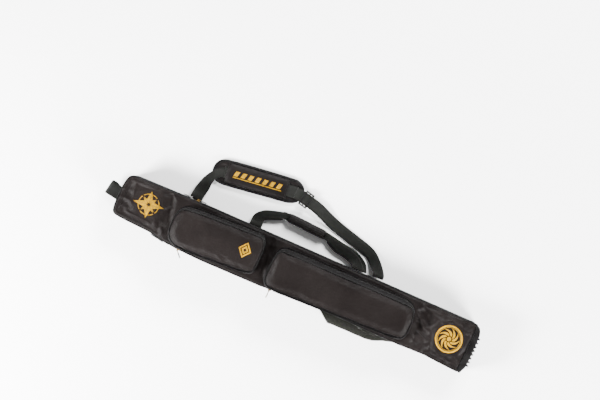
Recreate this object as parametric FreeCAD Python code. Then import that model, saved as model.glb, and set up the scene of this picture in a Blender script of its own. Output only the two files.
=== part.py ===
import FreeCAD, Part
import math
import os

# Padded rod case lying on its back. Millimetres.
# +X from the carry-loop end to the moulded base end, +Y towards the handle side,
# +Z out of the front face. z = 0 is the outer face of the back panel.

# ---------------------------------------------------------------- driving dimensions
X_BOOT = 617.2          # joint between the fabric body and the moulded base
X_COVER = 616.4         # base end of the opening cover
PANEL = 4.0             # back panel thickness
WALL = 4.0              # gusset wall thickness
Z_REAR = 62.0           # top of the rear gusset
Z_TAPE_R = 69.0         # top of the rear zip tape
Z_COIL_R = 70.0
Z_COIL_F = 70.4
Z_TAPE_F = 71.4
Z_RIM = 78.0            # bottom of the cover rim
Z_FRONT = 90.0          # underside of the front panel
Z_FACE = 95.0           # outer face of the front panel
Z_LOWER = 89.5          # top of the lower-side gusset
P_GUSSET = 118.0        # top of the pocket gussets
P_TAPE_L = 121.0
P_TAPE_U = 121.4
P_RIM = 124.4           # bottom of the pocket lid rims
P_HINGE = 133.6         # top of the pocket hinge walls
P_UNDER = 134.0         # underside of the pocket lid panels
P_TOP = 138.0           # outer face of the pocket lids
EDGE_A = ((-622.0, 66.0), (-405.0, 73.5))     # handle side, end stretch
EDGE_B = ((-405.0, 73.5), (604.0, 86.5))      # handle side, long stretch
RECESS = (95.0, 405.0, -47.0)                 # bottle recess: x0, x1, y of its wall
WEB = 2.5               # webbing thickness
PAD_C = (-240.0, 217.0)                       # middle of the shoulder pad
PAD_ANG = 8.306
GRIP = ((-98.0, 151.5), (40.0, 146.0))        # ends of the grip's middle line

OUT = [(-620, -75), (-632, -66), (-636, -45), (-636, 20), (-632, 48), (-624, 62), (-615, 66.24),
       (-405, 73.5), (604, 86.5), (700, 87.74), (700, -80.3), (600, -79.5), (540, -77), (495, -74),
       (440, -76.5), (405, -78.5), (95, -78.5), (0, -85), (-100, -92), (-300, -96.5), (-385, -95),
       (-440, -90), (-490, -81), (-580, -78)]
OUT = OUT[::-1]

C1, R1 = (-384.0, -36.0), 55.0
C2, R2 = (-56.0, -56.0), 32.0


def arc_pts(c, r, a0, a1, n):
    return [(c[0] + r * math.cos(math.radians(a0 + (a1 - a0) * i / n)),
             c[1] + r * math.sin(math.radians(a0 + (a1 - a0) * i / n))) for i in range(n + 1)]


P1 = [(-145, -73), (-133, -66), (-127, -53), (-125, -38), (-125, 8), (-128, 38), (-136, 57), (-150, 65.5),
      (-168, 67), (-300, 58.5), (-395, 52.5), (-418, 44), (-431, 28), (-438, 8), (-439.6, -14)] \
    + arc_pts(C1, R1, 180, 270, 6)
P2 = [(390, -65), (404, -58), (413, -44), (416, -15), (413, 20), (407, 44), (395, 59), (376, 67), (350, 67),
      (200, 64), (-50, 60), (-69, 54), (-80, 42), (-86, 20), (-88, -10)] + arc_pts(C2, R2, 180, 270, 6)
PAD = [(-375, 163), (-355, 157.5), (-330, 160), (-140, 189.5), (-115, 195), (-97, 204), (-88, 216), (-85, 235),
       (-86, 255), (-95, 266), (-110, 274.5), (-130, 277), (-350, 245.5), (-375, 238), (-390, 225), (-396, 205),
       (-393, 185), (-386, 172)]

os.makedirs("parts", exist_ok=True)


# ---------------------------------------------------------------- helpers
def V(x, y, z=0.0):
    return FreeCAD.Vector(x, y, z)


def area2(pts):
    return sum(a[0] * b[1] - b[0] * a[1] for a, b in zip(pts, pts[1:] + pts[:1]))


def ccw(pts):
    return list(pts) if area2(pts) > 0 else list(pts)[::-1]


def inset(pts, d):
    """Moves every side of a closed outline inwards by d (outwards when d is negative)."""
    p = ccw(pts)
    n = len(p)
    out = []
    for i in range(n):
        a, b, c = p[i - 1], p[i], p[(i + 1) % n]
        d1 = (b[0] - a[0], b[1] - a[1])
        d2 = (c[0] - b[0], c[1] - b[1])
        l1, l2 = math.hypot(*d1), math.hypot(*d2)
        n1 = (-d1[1] / l1, d1[0] / l1)
        n2 = (-d2[1] / l2, d2[0] / l2)
        k = 1.0 + n1[0] * n2[0] + n1[1] * n2[1]
        out.append((b[0] + (n1[0] + n2[0]) * d / k, b[1] + (n1[1] + n2[1]) * d / k))
    return out


def prism(pts, z0, z1):
    p = ccw(pts)
    w = Part.makePolygon([V(x, y, z0) for x, y in p] + [V(p[0][0], p[0][1], z0)])
    return Part.Face(w).extrude(V(0, 0, z1 - z0))


def ring(pts, i0, i1, z0, z1):
    return prism(inset(pts, i0), z0, z1).cut(prism(inset(pts, i1), z0 - 1, z1 + 1))


def box(x0, x1, y0, y1, z0, z1):
    return Part.makeBox(x1 - x0, y1 - y0, z1 - z0, V(x0, y0, z0))


def lbox(o, ang, t0, t1, n0, n1, z0, z1):
    """Box in a frame turned by ang degrees about Z, with t along the turned X and n along the turned Y."""
    b = Part.makeBox(t1 - t0, n1 - n0, z1 - z0, V(t0, n0, z0))
    b.rotate(V(0, 0, 0), V(0, 0, 1), ang)
    b.translate(V(o[0], o[1], 0))
    return b


def lpt(o, ang, t, n):
    a = math.radians(ang)
    return (o[0] + t * math.cos(a) - n * math.sin(a), o[1] + t * math.sin(a) + n * math.cos(a))


def ribbon(st, th=WEB):
    """Closed band of webbing. A station is (centre x, y, z, half-width vector x, y, z)."""
    n = len(st)
    rings = []
    for i, s in enumerate(st):
        a, b = st[max(i - 1, 0)], st[min(i + 1, n - 1)]
        d = V(b[0] - a[0], b[1] - a[1], b[2] - a[2])
        w = V(*s[3:6])
        nn = w.cross(d)
        nn.normalize()
        if nn.z < 0:
            nn = nn * -1
        nn = nn * (th / 2.0)
        c = V(*s[0:3])
        rings.append([c - w - nn, c + w - nn, c + w + nn, c - w + nn])
    faces = []

    def tri(p, q, r):
        faces.append(Part.Face(Part.makePolygon([p, q, r, p])))

    for a, b in zip(rings, rings[1:]):
        for k in range(4):
            m = (k + 1) % 4
            tri(a[k], a[m], b[m])
            tri(a[k], b[m], b[k])
    for r in (rings[0], rings[-1]):
        tri(r[0], r[1], r[2])
        tri(r[0], r[2], r[3])
    s = Part.Solid(Part.Shell(faces))
    if s.Volume < 0:
        s.reverse()
    return s


def edge(x):
    (x0, y0), (x1, y1) = EDGE_A if x < EDGE_B[0][0] else EDGE_B
    return (x, y0 + (y1 - y0) * (x - x0) / (x1 - x0))


ANG_A = math.degrees(math.atan2(EDGE_A[1][1] - EDGE_A[0][1], EDGE_A[1][0] - EDGE_A[0][0]))
ANG_B = math.degrees(math.atan2(EDGE_B[1][1] - EDGE_B[0][1], EDGE_B[1][0] - EDGE_B[0][0]))

NODES = {}


def add(name, *shapes):
    s = shapes[0]
    for t in shapes[1:]:
        s = s.fuse(t)
    if s.ShapeType == "Compound" and len(s.Solids) == 1:
        s = s.Solids[0]
    NODES[name] = s


BIG = 2000
HANDLE = box(-BIG, X_BOOT, 30, BIG, -10, 400)
TOPEND = box(-BIG, 0, -60, 30, -10, 400)
LOWER = box(-BIG, X_BOOT, -BIG, -60, -10, 400)
LOWER_F = box(-BIG, X_COVER, -BIG, -60, -10, 400)
HANDLE_F = box(-BIG, X_COVER, 30, BIG, -10, 400)
ALL_R = box(-BIG, X_BOOT, -BIG, BIG, -10, 400)
ALL_F = box(-BIG, X_COVER, -BIG, BIG, -10, 400)
ZIP_F = HANDLE_F.fuse(box(-BIG, 0, -59, 30, -10, 400))
ZIP_R = HANDLE.fuse(TOPEND)

# ---------------------------------------------------------------- rear shell
add("back_panel", prism(OUT, 0, PANEL).common(ALL_R))
add("back_foam_board", prism(inset(OUT, 8), PANEL, PANEL + 4).common(box(-BIG, 612, -BIG, BIG, 0, 90))
    .cut(box(RECESS[0] - 10, RECESS[1] + 10, -BIG, RECESS[2] + 8, 0, 90)))
add("back_piping", ring(OUT, -2.5, 0, 1, 5).common(ALL_R).cut(box(RECESS[0] - 6, RECESS[1] + 6, -BIG, -60, 0, 20)))
add("gusset_handle_side", ring(OUT, 0, WALL, PANEL, Z_REAR).common(HANDLE))
add("gusset_top_end", ring(OUT, 0, WALL, PANEL, Z_REAR).common(TOPEND))
x0, x1, yr = RECESS
low = ring(OUT, 0, WALL, PANEL, Z_LOWER).common(LOWER)
add("gusset_lower_side", low.common(box(-BIG, x0 - 4, -BIG, BIG, -10, 400)))
add("gusset_lower_base", low.common(box(x1 + 4, BIG, -BIG, BIG, -10, 400)))
# the lower side steps in behind the bottle pocket, so that a bottle lies half inside the case's outline
NODES["bottle_recess"] = Part.makeCompound([
    box(x0, x1, yr, yr + 4, PANEL, 70.5),
    box(x0 - 4, x0, -78.2, yr + 4, PANEL, Z_LOWER),
    box(x1, x1 + 4, -78.2, yr + 4, PANEL, Z_LOWER),
    box(x0, x1, -78.5, yr + 4, 70.5, 74.0),
    box(x0, x1, -78.5, -74.5, 74.0, Z_LOWER)])
add("main_zip_tape_rear", ring(OUT, 1.2, 2.8, Z_REAR, Z_TAPE_R).common(ZIP_R))
add("main_zip_coil_rear", ring(OUT, 0.5, 3.5, Z_TAPE_R, Z_COIL_R).common(ZIP_R))
add("cover_hinge_binding", ring(OUT, -1.5, 0, 81, 89.2).common(LOWER))

# moulded base: a thick cap with upright ribs on its end
BOOT = [(X_BOOT, -80.2), (627, -82.5), (640, -53), (640, 50), (636, 68), (629, 80), (X_BOOT, 86.6)]
boot = prism(BOOT, 0, Z_FACE).cut(box(X_BOOT - 1, 629, -75.5, 74, PANEL, 91))
for y in (45, 31, 17, 3.5, -10, -23.5, -37, -50):
    boot = boot.fuse(box(639, 645, y - 3.4, y + 3.4, 2, 93))
add("base_boot", boot.removeSplitter())

# webbing anchors on the handle-side gusset
LX, RX = -403.0, 256.0                    # shoulder strap anchors
HLX, HRX, HRX2 = -186.5, 182.0, 197.0     # handle anchors (front webs, rear web on the right)
Z_STRAP, Z_HAND = 35.0, 29.0


def anchor(x, t0, t1, reach, levels, z0, z1):
    s = lbox(edge(x), ANG_B, t0, t1, 0.0, 2.4, z0, z1)
    for (zc, a, b) in levels:
        s = s.fuse(lbox(edge(x), ANG_B, a, b, 2.4, reach, zc - WEB / 2, zc + WEB / 2))
    return s


add("strap_anchor_tabs", Part.makeCompound([
    anchor(LX, -22 + 0.6, 22, 12.3, [(Z_STRAP, -22 + 0.6, 22)], 14, 52),
    anchor(RX, -19, 19, 12.3, [(Z_STRAP, -19, 19)], 14, 52)]))
add("handle_anchor_tabs", Part.makeCompound([
    anchor(HLX, -21.5, 21.5, 6.3, [(33, -21.5, 21.5), (25, -21.5, 21.5)], 12, 52),
    anchor(HRX, -21, 34, 6.3, [(33, -21, 21), (25, -4, 34)], 12, 52)]))

# mesh bottle pocket: an open net shell on the lower side, its mouth cut at a slant
POUCH = [(115, -78.5), (128, -97), (145, -108), (165, -114), (300, -111), (325, -107), (355, -94), (400, -78.5)]
PIN = [(80, -60), (80, -112.5), (165, -112.5), (300, -109.5), (324, -105.6), (353, -92.6), (390, -78.0), (390, -60)]
MOUTH = [(100, -60), (115, -78.5), (128, -97), (145, -108), (165, -114), (172, -117), (180, -117), (172, -113.9),
         (152, -107), (135, -95), (123, -78.5), (112, -60)]
shell = prism(POUCH, 1, 72).cut(prism(PIN, 2.5, 70.5))
mouth = prism(MOUTH, -5, 90)
add("bottle_pocket_rim", shell.common(mouth))
add("bottle_pocket_mesh", shell.cut(mouth))

# side strap and buckle, on the slanting stretch of the lower side near the carry-loop end
SO = (-490.0, -81.0)
SANG = math.degrees(math.atan2(-90 + 81, -440 + 490))


def sbox(t0, t1, n0, n1, z0, z1):
    """n is measured outwards from the lower side's outer face."""
    return lbox(SO, SANG, t0, t1, -n1, -n0, z0, z1)


add("side_buckle_female", sbox(1, 27, 0.0, 9, 34, 58).cut(sbox(5, 30, 2.4, 7.2, 37.4, 54.6)))
add("side_buckle_tab", lbox((-490.0, -81.0), math.degrees(math.atan2(-3, -90)), 0.4, 26, 0.05, 2.5, 36, 56))
male = sbox(27.5, 49, 0.8, 9, 34, 58).cut(sbox(39, 44, -5, 20, 37, 55))
male = male.fuse([sbox(8, 28, 3.0, 6.6, 38.6, 42.6), sbox(8, 28, 3.0, 6.6, 49.4, 53.4)]).removeSplitter()
add("side_buckle_male", male)
add("side_strap_tail", sbox(49, 68, 3.2, 5.6, 36, 56))

# carry-loop patch and the tie straps inside
add("end_loop_patch", box(-638, -636, -36, 14, 26, 56), box(-644, -638, -33.5, 10.5, 39, 43))
add("rod_tie_straps", Part.makeCompound([box(-362, -337, -62, 60, 8, 10.2), box(238, 263, -38, 66, 8, 10.2)]))

# ---------------------------------------------------------------- front cover
add("front_panel", prism(OUT, Z_FRONT, Z_FACE).common(ALL_F))
add("front_foam_board", prism(inset(OUT, 9), 86.4, Z_FRONT).common(box(-BIG, 606, -BIG, BIG, 0, 200))
    .cut(box(RECESS[0] - 8, RECESS[0] + 2, -BIG, RECESS[2] + 6, 0, 200))
    .cut(box(RECESS[1] - 2, RECESS[1] + 8, -BIG, RECESS[2] + 6, 0, 200)))
add("cover_rim", ring(OUT, 0, WALL, Z_RIM, Z_FRONT).common(ZIP_F))
add("main_zip_tape_front", ring(OUT, 1.2, 2.8, Z_TAPE_F, Z_RIM).common(ZIP_F))
add("main_zip_coil_front", ring(OUT, 0.5, 3.5, Z_COIL_F, Z_TAPE_F).common(ZIP_F))
add("front_piping", ring(OUT, -2.5, 0, 91.5, Z_FACE).common(ALL_F))
EMB = [(-590, 4), (-566, 20), (-552, 46), (-530, 30), (-500, 44), (-512, 14), (-476, -6), (-512, -16), (-528, -48),
       (-546, -18), (-574, -26), (-566, -4)]
add("emblem_left", prism(EMB, Z_FACE, Z_FACE + 0.8))
add("emblem_roundel", Part.makeCylinder(46, 0.8, V(549, 6, Z_FACE)).cut(Part.makeCylinder(37, 3, V(549, 6, Z_FACE - 1)))
    .fuse(Part.makeCylinder(30, 0.8, V(549, 6, Z_FACE))))


def pocket(num, pts, a, b, t0, t1):
    """Pocket walls on the cover and the lid above them. a to b is the hinged lower side."""
    ang = math.degrees(math.atan2(b[1] - a[1], b[0] - a[0]))
    zone_w = lbox(a, ang, t0 + 0.5, t1 - 0.5, -6, 8, 0, 300)
    zone_l = lbox(a, ang, t0 - 0.5, t1 + 0.5, -6, 8, 0, 300)
    wall = ring(pts, 0, 3, Z_FACE, P_GUSSET)
    wall = wall.fuse(ring(pts, 0, 3, P_GUSSET, P_HINGE).common(zone_w)).removeSplitter()
    add("pocket_%d_gusset" % num, wall)
    add("pocket_%d_zip_tape_lower" % num, ring(pts, 0.8, 2.4, P_GUSSET, P_TAPE_L).cut(zone_l))
    add("pocket_%d_zip_tape_upper" % num, ring(pts, 0.8, 2.4, P_TAPE_U, P_RIM).cut(zone_l))
    lid = prism(pts, P_UNDER, P_TOP).fuse(ring(pts, 0, 3, P_RIM, P_UNDER).cut(zone_l)).removeSplitter()
    add("pocket_%d_lid" % num, lid)
    add("pocket_%d_piping" % num, ring(pts, -2.0, 0, 135, 138.4).cut(zone_l))
    print("pocket", num, "hinge axis point", lpt(a, ang, 0, -1.0), "z", 138.4, "angle", ang)


pocket(1, P1, (-384, -91), (-145, -73), 14, 226)
pocket(2, P2, (-56, -88), (390, -65), 12, 440)
add("pocket_1_mark", prism([(-206, -4), (-182, 26), (-158, -4), (-182, -34)], P_TOP, P_TOP + 0.8))


# ---------------------------------------------------------------- zip sliders and pulls
def slider(name, o, ang, z, n0):
    """o lies on the wall's outer face; n points out of the wall."""
    s = lbox(o, ang, -7, 7, n0, 3.4, z - 6, z + 6)
    s = s.fuse([lbox(o, ang, -2.6, 2.6, 3.0, 8.6, z + 2.8, z + 4.6),
                lbox(o, ang, -2.6, 2.6, 3.0, 8.6, z - 4.6, z - 2.8)])
    px, py = lpt(o, ang, 0, 6.4)
    s = s.fuse(Part.makeCylinder(1.0, 6.4, V(px, py, z - 3.2))).removeSplitter()
    add(name, s)
    return px, py


def pull(name, p, ang, z, length, half_t, half_z):
    """A tab hinged on the slider's pin, pointing along ang."""
    s = Part.makeCylinder(2.8, 5.0, V(p[0], p[1], z - 2.5))
    s = s.fuse(lbox(p, ang, 1.6, 9, -1.6, 1.6, z - 2.5, z + 2.5))
    s = s.fuse(lbox(p, ang, 8, length, -half_t, half_t, z - half_z, z + half_z)).removeSplitter()
    add(name, s.cut(Part.makeCylinder(1.06, 20, V(p[0], p[1], z - 10))))
    print(name, "pin", p, z)


ZM, ZP = 70.2, 121.2
SA, SB = edge(-414.0), edge(-392.0)
pa = slider("main_slider_a", SA, ANG_A, ZM, 1.2)
pull("main_pull_a", pa, 180 + ANG_A, ZM, 30, 1.4, 3.5)
pb = slider("main_slider_b", SB, ANG_B, ZM, 1.2)
pull("main_pull_b", pb, ANG_B, ZM, 30, 1.4, 3.5)
q1 = slider("pocket_1_slider", (C1[0], C1[1] - R1), 180, ZP, 0.8)
pull("pocket_1_pull", q1, -46, ZP, 27, 2.0, 3.5)
q2 = slider("pocket_2_slider", (C2[0], C2[1] - R2), 180, ZP, 0.8)
pull("pocket_2_pull", q2, -90, ZP, 24, 2.0, 3.5)

# ---------------------------------------------------------------- grab handle
ex, ey = edge(HLX)
fx, fy = edge(HRX)
gx, gy = edge(HRX2)
gl, gr = GRIP
add("handle_web_front", ribbon([
    (ex, ey + 9.6, 33, 21.5, 0.28, 0), (-187, 98, 21, 21, 0, 0), (-185, 109, 15, 19, -4, 0),
    (-173, 122, 13.5, 9, -12, 0), (-150, 133, 14, 4.5, -12.5, 0), (-118, 145, 15.2, 3.5, -10.5, 0),
    (-98, 151.4, 15.4, -0.4, -11, 0), (40, 146, 15.4, -0.4, -11, 0), (60, 139, 14, -2.5, -14, 0),
    (95, 128, 12.5, -5, -18, 0), (130, 122, 12.5, -6.5, -17, 0), (156, 114, 14, -13, -13.5, 0),
    (171, 105, 20, -18, -8, 0), (fx - 1, fy + 15, 28, -20.5, -2.5, 0), (fx, fy + 9.6, 33, -21, -0.27, 0)]))
add("handle_web_rear", ribbon([
    (ex, ey + 9.6, 25, 21.5, 0.28, 0), (-187, 97, 13.5, 21, 0, 0), (-186, 111, 6, 18, -5, 0),
    (-172, 126, 4.5, 10, -12, 0), (-148, 137, 4.6, 4.5, -12.5, 0), (-118, 147, 8, 3.5, -10.5, 0),
    (-98, 151.4, 10.6, -0.4, -11, 0), (40, 146, 10.6, -0.4, -11, 0), (60, 142, 8, -2, -13, 0),
    (100, 135, 4.6, -3, -13.5, 0), (140, 130.5, 4.6, -4, -13, 0), (168, 121, 5.4, -9, -12, 0),
    (186, 110, 9, -14, -9, 0), (gx - 2, gy + 16, 18, -17.5, -3, 0), (gx, gy + 9.6, 25, -19, -0.25, 0)]))
GL = math.hypot(gr[0] - gl[0], gr[1] - gl[1])
GANG = math.degrees(math.atan2(gr[1] - gl[1], gr[0] - gl[0]))


def along(sec, o, ang, t0, t1):
    """A section of (n, z) points drawn out along t."""
    w = Part.makePolygon([V(t0, n, z) for n, z in sec] + [V(t0, sec[0][0], sec[0][1])])
    s = Part.Face(w).extrude(V(t1 - t0, 0, 0))
    s.rotate(V(0, 0, 0), V(0, 0, 1), ang)
    s.translate(V(o[0], o[1], 0))
    return s


sec = [(-17, 7), (-11, 1), (11, 1), (17, 7), (17, 19), (11, 25), (-11, 25), (-17, 19)]
add("grip_sleeve", along(sec, gl, GANG, 0, GL).cut(lbox(gl, GANG, -5, GL + 5, -13, 13, 8.2, 17.8)))
add("grip_flap", lbox(gl, GANG, 6, GL - 6, -10.5, 2.5, 25.3, 26.6))

# ---------------------------------------------------------------- shoulder strap
lx, ly = edge(LX)
rx, ry = edge(RX)
ax, ay = 2.89, -19.79
add("strap_web", ribbon([
    (lx, ly + 15.6, 35, 22 - 0.6, 0.28, 0), (-401.5, 108, 22, 21.5, 0, 0), (-398, 127, 13.6, 21, -1, 0),
    (-394, 150, 12.9, 17, -5, 0), (-385, 172, 12.9, 12, -9, 0), (-370, 190, 12.9, 9, -12, 0),
    (-352, 199.6, 12.9, 4.5, -16, 0), (-335, 203.1, 12.9, ax, ay, 0), (-128, 233.3, 12.9, ax, ay, 0),
    (-108, 234.8, 12.9, -0.5, -20, 0), (-90, 233.5, 12.9, -4.1, -19.6, 0), (-28, 220.5, 12.9, -4.1, -19.6, 0),
    (-5, 213, 11.5, -6.5, -19, 0), (18, 204, 8.5, -6.5, -19, 0), (60, 189.5, 3.0, -5.5, -19.3, 0),
    (120, 174, 2.2, -5, -19.4, 0), (180, 159.5, 2.2, -5.5, -19, 0), (207, 150, 4, -8.5, -17, 0),
    (228, 133, 11, -12.5, -14, 0), (243, 117, 21, -16.5, -9, 0), (rx - 2, ry + 22.5, 30, -18.8, -2, 0),
    (rx, ry + 15.6, 35, -19, -0.25, 0)]))
add("pad_body", prism(PAD, 0.4, 11.0))
add("pad_sleeve", lbox(PAD_C, PAD_ANG, -111, 106, -36.5, 36.5, 11, 18.4)
    .cut(lbox(PAD_C, PAD_ANG, -130, 130, -23, 23, 10, 15.2)))
add("pad_mark", lbox(PAD_C, PAD_ANG, -85, 85, -11, 13, 18.4, 19.2))
TG = (-90.0, 233.5)
TANG = math.degrees(math.atan2(220.5 - 233.5, -28 + 90))
tg = lbox(TG, TANG, 7, 39, -27, 27, 8.6, 17.2).cut(lbox(TG, TANG, 0, 50, -22, 22, 11.0, 14.8))
add("tri_glide", tg.cut(lbox(TG, TANG, 14, 32, -21, 21, 13, 30)))
print("strap axis", lpt(edge(LX), ANG_B, 0, 14), "handle axis", lpt(edge(HLX), ANG_B, 0, 8), "ang", ANG_B, "tri", TANG)

# ---------------------------------------------------------------- carry loop
LO, LANG = (-648.0, -9.5), -9.0
outer = [(-37.5, 34), (-33, 31.2), (0, 31.2), (0, 50.8), (-33, 50.8), (-37.5, 48)]
inner = [(-34.8, 35.2), (-32.2, 34.0), (3, 34.0), (3, 48.0), (-32.2, 48.0), (-34.8, 46.8)]


def along_y(sec, y0, y1):
    w = Part.makePolygon([V(t, y0, z) for t, z in sec] + [V(sec[0][0], y0, sec[0][1])])
    return Part.Face(w).extrude(V(0, y1 - y0, 0))


loop = along_y(outer, -22.5, 22.5).cut(along_y(inner, -40, 40))
loop.rotate(V(0, 0, 0), V(0, 0, 1), LANG)
loop.translate(V(LO[0], LO[1], 0))
loop = loop.common(box(-BIG, -648, -BIG, BIG, 0, 200))
add("end_loop_web", loop)

# ---------------------------------------------------------------- write
for name, s in NODES.items():
    sol = s.Solids
    ok = all(q.isValid() and q.Volume > 0 for q in sol)
    if not ok or not sol:
        print("BAD", name, len(sol), [round(q.Volume, 2) for q in sol], s.isValid())
    s.exportStep("parts/%s.step" % name)
    bb = s.BoundBox
    print("%-26s %d  x %.1f..%.1f y %.1f..%.1f z %.1f..%.1f  v %.0f" % (
        name, len(sol), bb.XMin, bb.XMax, bb.YMin, bb.YMax, bb.ZMin, bb.ZMax, s.Volume))
print(len(NODES), "nodes")
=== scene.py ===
import math

import bpy
import numpy as np
from mathutils import Matrix, Vector, noise
from mathutils.bvhtree import BVHTree


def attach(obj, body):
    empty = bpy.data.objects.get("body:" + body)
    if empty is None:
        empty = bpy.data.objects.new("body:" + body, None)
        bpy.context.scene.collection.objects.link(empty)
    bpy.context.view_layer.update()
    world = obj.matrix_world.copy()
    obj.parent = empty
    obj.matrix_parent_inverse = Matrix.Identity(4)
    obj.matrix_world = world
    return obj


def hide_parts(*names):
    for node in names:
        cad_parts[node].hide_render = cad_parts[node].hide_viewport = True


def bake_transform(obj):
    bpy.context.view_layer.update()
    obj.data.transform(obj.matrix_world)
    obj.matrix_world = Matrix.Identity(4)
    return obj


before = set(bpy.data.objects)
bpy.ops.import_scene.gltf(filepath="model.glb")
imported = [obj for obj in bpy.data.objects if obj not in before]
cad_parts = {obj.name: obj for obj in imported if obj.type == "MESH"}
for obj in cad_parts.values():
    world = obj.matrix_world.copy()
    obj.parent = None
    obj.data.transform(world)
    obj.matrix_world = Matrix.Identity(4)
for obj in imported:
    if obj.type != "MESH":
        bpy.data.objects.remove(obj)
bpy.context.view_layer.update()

scene = bpy.context.scene
MM = 0.001

# ------------------------------------------------------------------ shapes shared with the frame (mm)
OUT = [(700, 87.74), (604, 86.5), (-405, 73.5), (-615, 66.24), (-624, 62), (-632, 48), (-636, 20), (-636, -45),
       (-632, -66), (-620, -75), (-580, -78), (-490, -81), (-440, -90), (-385, -95), (-300, -96.5), (-100, -92),
       (0, -85), (95, -78.5), (405, -78.5), (440, -76.5), (495, -74), (540, -77), (600, -79.5), (700, -80.3)]
C1, R1 = (-384.0, -36.0), 55.0
C2, R2 = (-56.0, -56.0), 32.0


def arc_pts(c, r, a0, a1, n):
    return [(c[0] + r * math.cos(math.radians(a0 + (a1 - a0) * i / n)),
             c[1] + r * math.sin(math.radians(a0 + (a1 - a0) * i / n))) for i in range(n + 1)]


P1 = [(-145, -73), (-133, -66), (-127, -53), (-125, -38), (-125, 8), (-128, 38), (-136, 57), (-150, 65.5),
      (-168, 67), (-300, 58.5), (-395, 52.5), (-418, 44), (-431, 28), (-438, 8), (-439.6, -14)] \
    + arc_pts(C1, R1, 180, 270, 6)
P2 = [(390, -65), (404, -58), (413, -44), (416, -15), (413, 20), (407, 44), (395, 59), (376, 67), (350, 67),
      (200, 64), (-50, 60), (-69, 54), (-80, 42), (-86, 20), (-88, -10)] + arc_pts(C2, R2, 180, 270, 6)
PAD = [(-375, 163), (-355, 157.5), (-330, 160), (-140, 189.5), (-115, 195), (-97, 204), (-88, 216), (-85, 235),
       (-86, 255), (-95, 266), (-110, 274.5), (-130, 277), (-350, 245.5), (-375, 238), (-390, 225), (-396, 205),
       (-393, 185), (-386, 172)]


def edge_y(x):
    return 66.0 + (x + 622.0) * 7.5 / 217.0 if x < -405 else 73.5 + (x + 405.0) * 13.0 / 1009.0


# ------------------------------------------------------------------ node material helpers
def new_mat(name):
    m = bpy.data.materials.new(name)
    m.use_nodes = True
    nt = m.node_tree
    for n in list(nt.nodes):
        nt.nodes.remove(n)
    out = nt.nodes.new("ShaderNodeOutputMaterial")
    bsdf = nt.nodes.new("ShaderNodeBsdfPrincipled")
    nt.links.new(bsdf.outputs[0], out.inputs[0])
    return m, nt, bsdf


def math_node(nt, op, a, b=None, clamp=False):
    n = nt.nodes.new("ShaderNodeMath")
    n.operation = op
    n.use_clamp = clamp
    for i, v in enumerate((a, b)):
        if v is None:
            continue
        if isinstance(v, (int, float)):
            n.inputs[i].default_value = v
        else:
            nt.links.new(v, n.inputs[i])
    return n.outputs[0]


def noise_node(nt, vec, scale, detail=3.0, rough=0.55):
    n = nt.nodes.new("ShaderNodeTexNoise")
    n.inputs["Scale"].default_value = scale
    n.inputs["Detail"].default_value = detail
    n.inputs["Roughness"].default_value = rough
    nt.links.new(vec, n.inputs["Vector"])
    return n.outputs["Fac"]


def ramp(nt, fac, stops):
    r = nt.nodes.new("ShaderNodeValToRGB")
    while len(r.color_ramp.elements) < len(stops):
        r.color_ramp.elements.new(0.5)
    for e, (p, c) in zip(r.color_ramp.elements, stops):
        e.position = p
        e.color = (c[0], c[1], c[2], 1)
    nt.links.new(fac, r.inputs[0])
    return r.outputs[0]


def bump(nt, bsdf, height, dist, strength=1.0, prev=None):
    b = nt.nodes.new("ShaderNodeBump")
    b.inputs["Strength"].default_value = strength
    b.inputs["Distance"].default_value = dist
    nt.links.new(height, b.inputs["Height"])
    if prev is not None:
        nt.links.new(prev, b.inputs["Normal"])
    nt.links.new(b.outputs[0], bsdf.inputs["Normal"])
    return b.outputs[0]


def fabric(name, dark, light, pitch=1.1, rough=0.36, sheen=0.004, weave=0.00008, blotch=7.0, crinkle=0.0012,
           spec=0.10):
    """Plain-woven cloth: crossing threads on every face, slow colour change, fine crinkle."""
    m, nt, bsdf = new_mat(name)
    tc = nt.nodes.new("ShaderNodeTexCoord")
    obj = tc.outputs["Object"]
    sep = nt.nodes.new("ShaderNodeSeparateXYZ")
    nt.links.new(obj, sep.inputs[0])
    k = 2 * math.pi / (pitch * MM)
    yz = math_node(nt, "ADD", sep.outputs["Y"], sep.outputs["Z"])
    sx = math_node(nt, "SINE", math_node(nt, "MULTIPLY", sep.outputs["X"], k))
    sy = math_node(nt, "SINE", math_node(nt, "MULTIPLY", yz, k))
    w = math_node(nt, "MULTIPLY", sx, sy)
    n1 = noise_node(nt, obj, blotch, 4.0)
    n2 = noise_node(nt, obj, 900.0, 2.0)
    f = math_node(nt, "ADD", math_node(nt, "MULTIPLY", n1, 0.75), math_node(nt, "MULTIPLY", n2, 0.25))
    f = math_node(nt, "ADD", f, math_node(nt, "MULTIPLY", w, 0.04))
    col = ramp(nt, f, [(0.25, dark), (0.75, light)])
    nt.links.new(col, bsdf.inputs["Base Color"])
    r = math_node(nt, "ADD", math_node(nt, "MULTIPLY", n1, 0.16), rough - 0.08)
    nt.links.new(r, bsdf.inputs["Roughness"])
    bsdf.inputs["Specular IOR Level"].default_value = spec
    bsdf.inputs["Sheen Weight"].default_value = sheen
    bsdf.inputs["Sheen Roughness"].default_value = 0.45
    bsdf.inputs["Sheen Tint"].default_value = (0.75, 0.72, 0.70, 1)
    b1 = bump(nt, bsdf, w, weave)
    n3 = noise_node(nt, obj, 55.0, 4.0, 0.6)
    bump(nt, bsdf, n3, crinkle, 1.0, b1)
    return m


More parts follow.
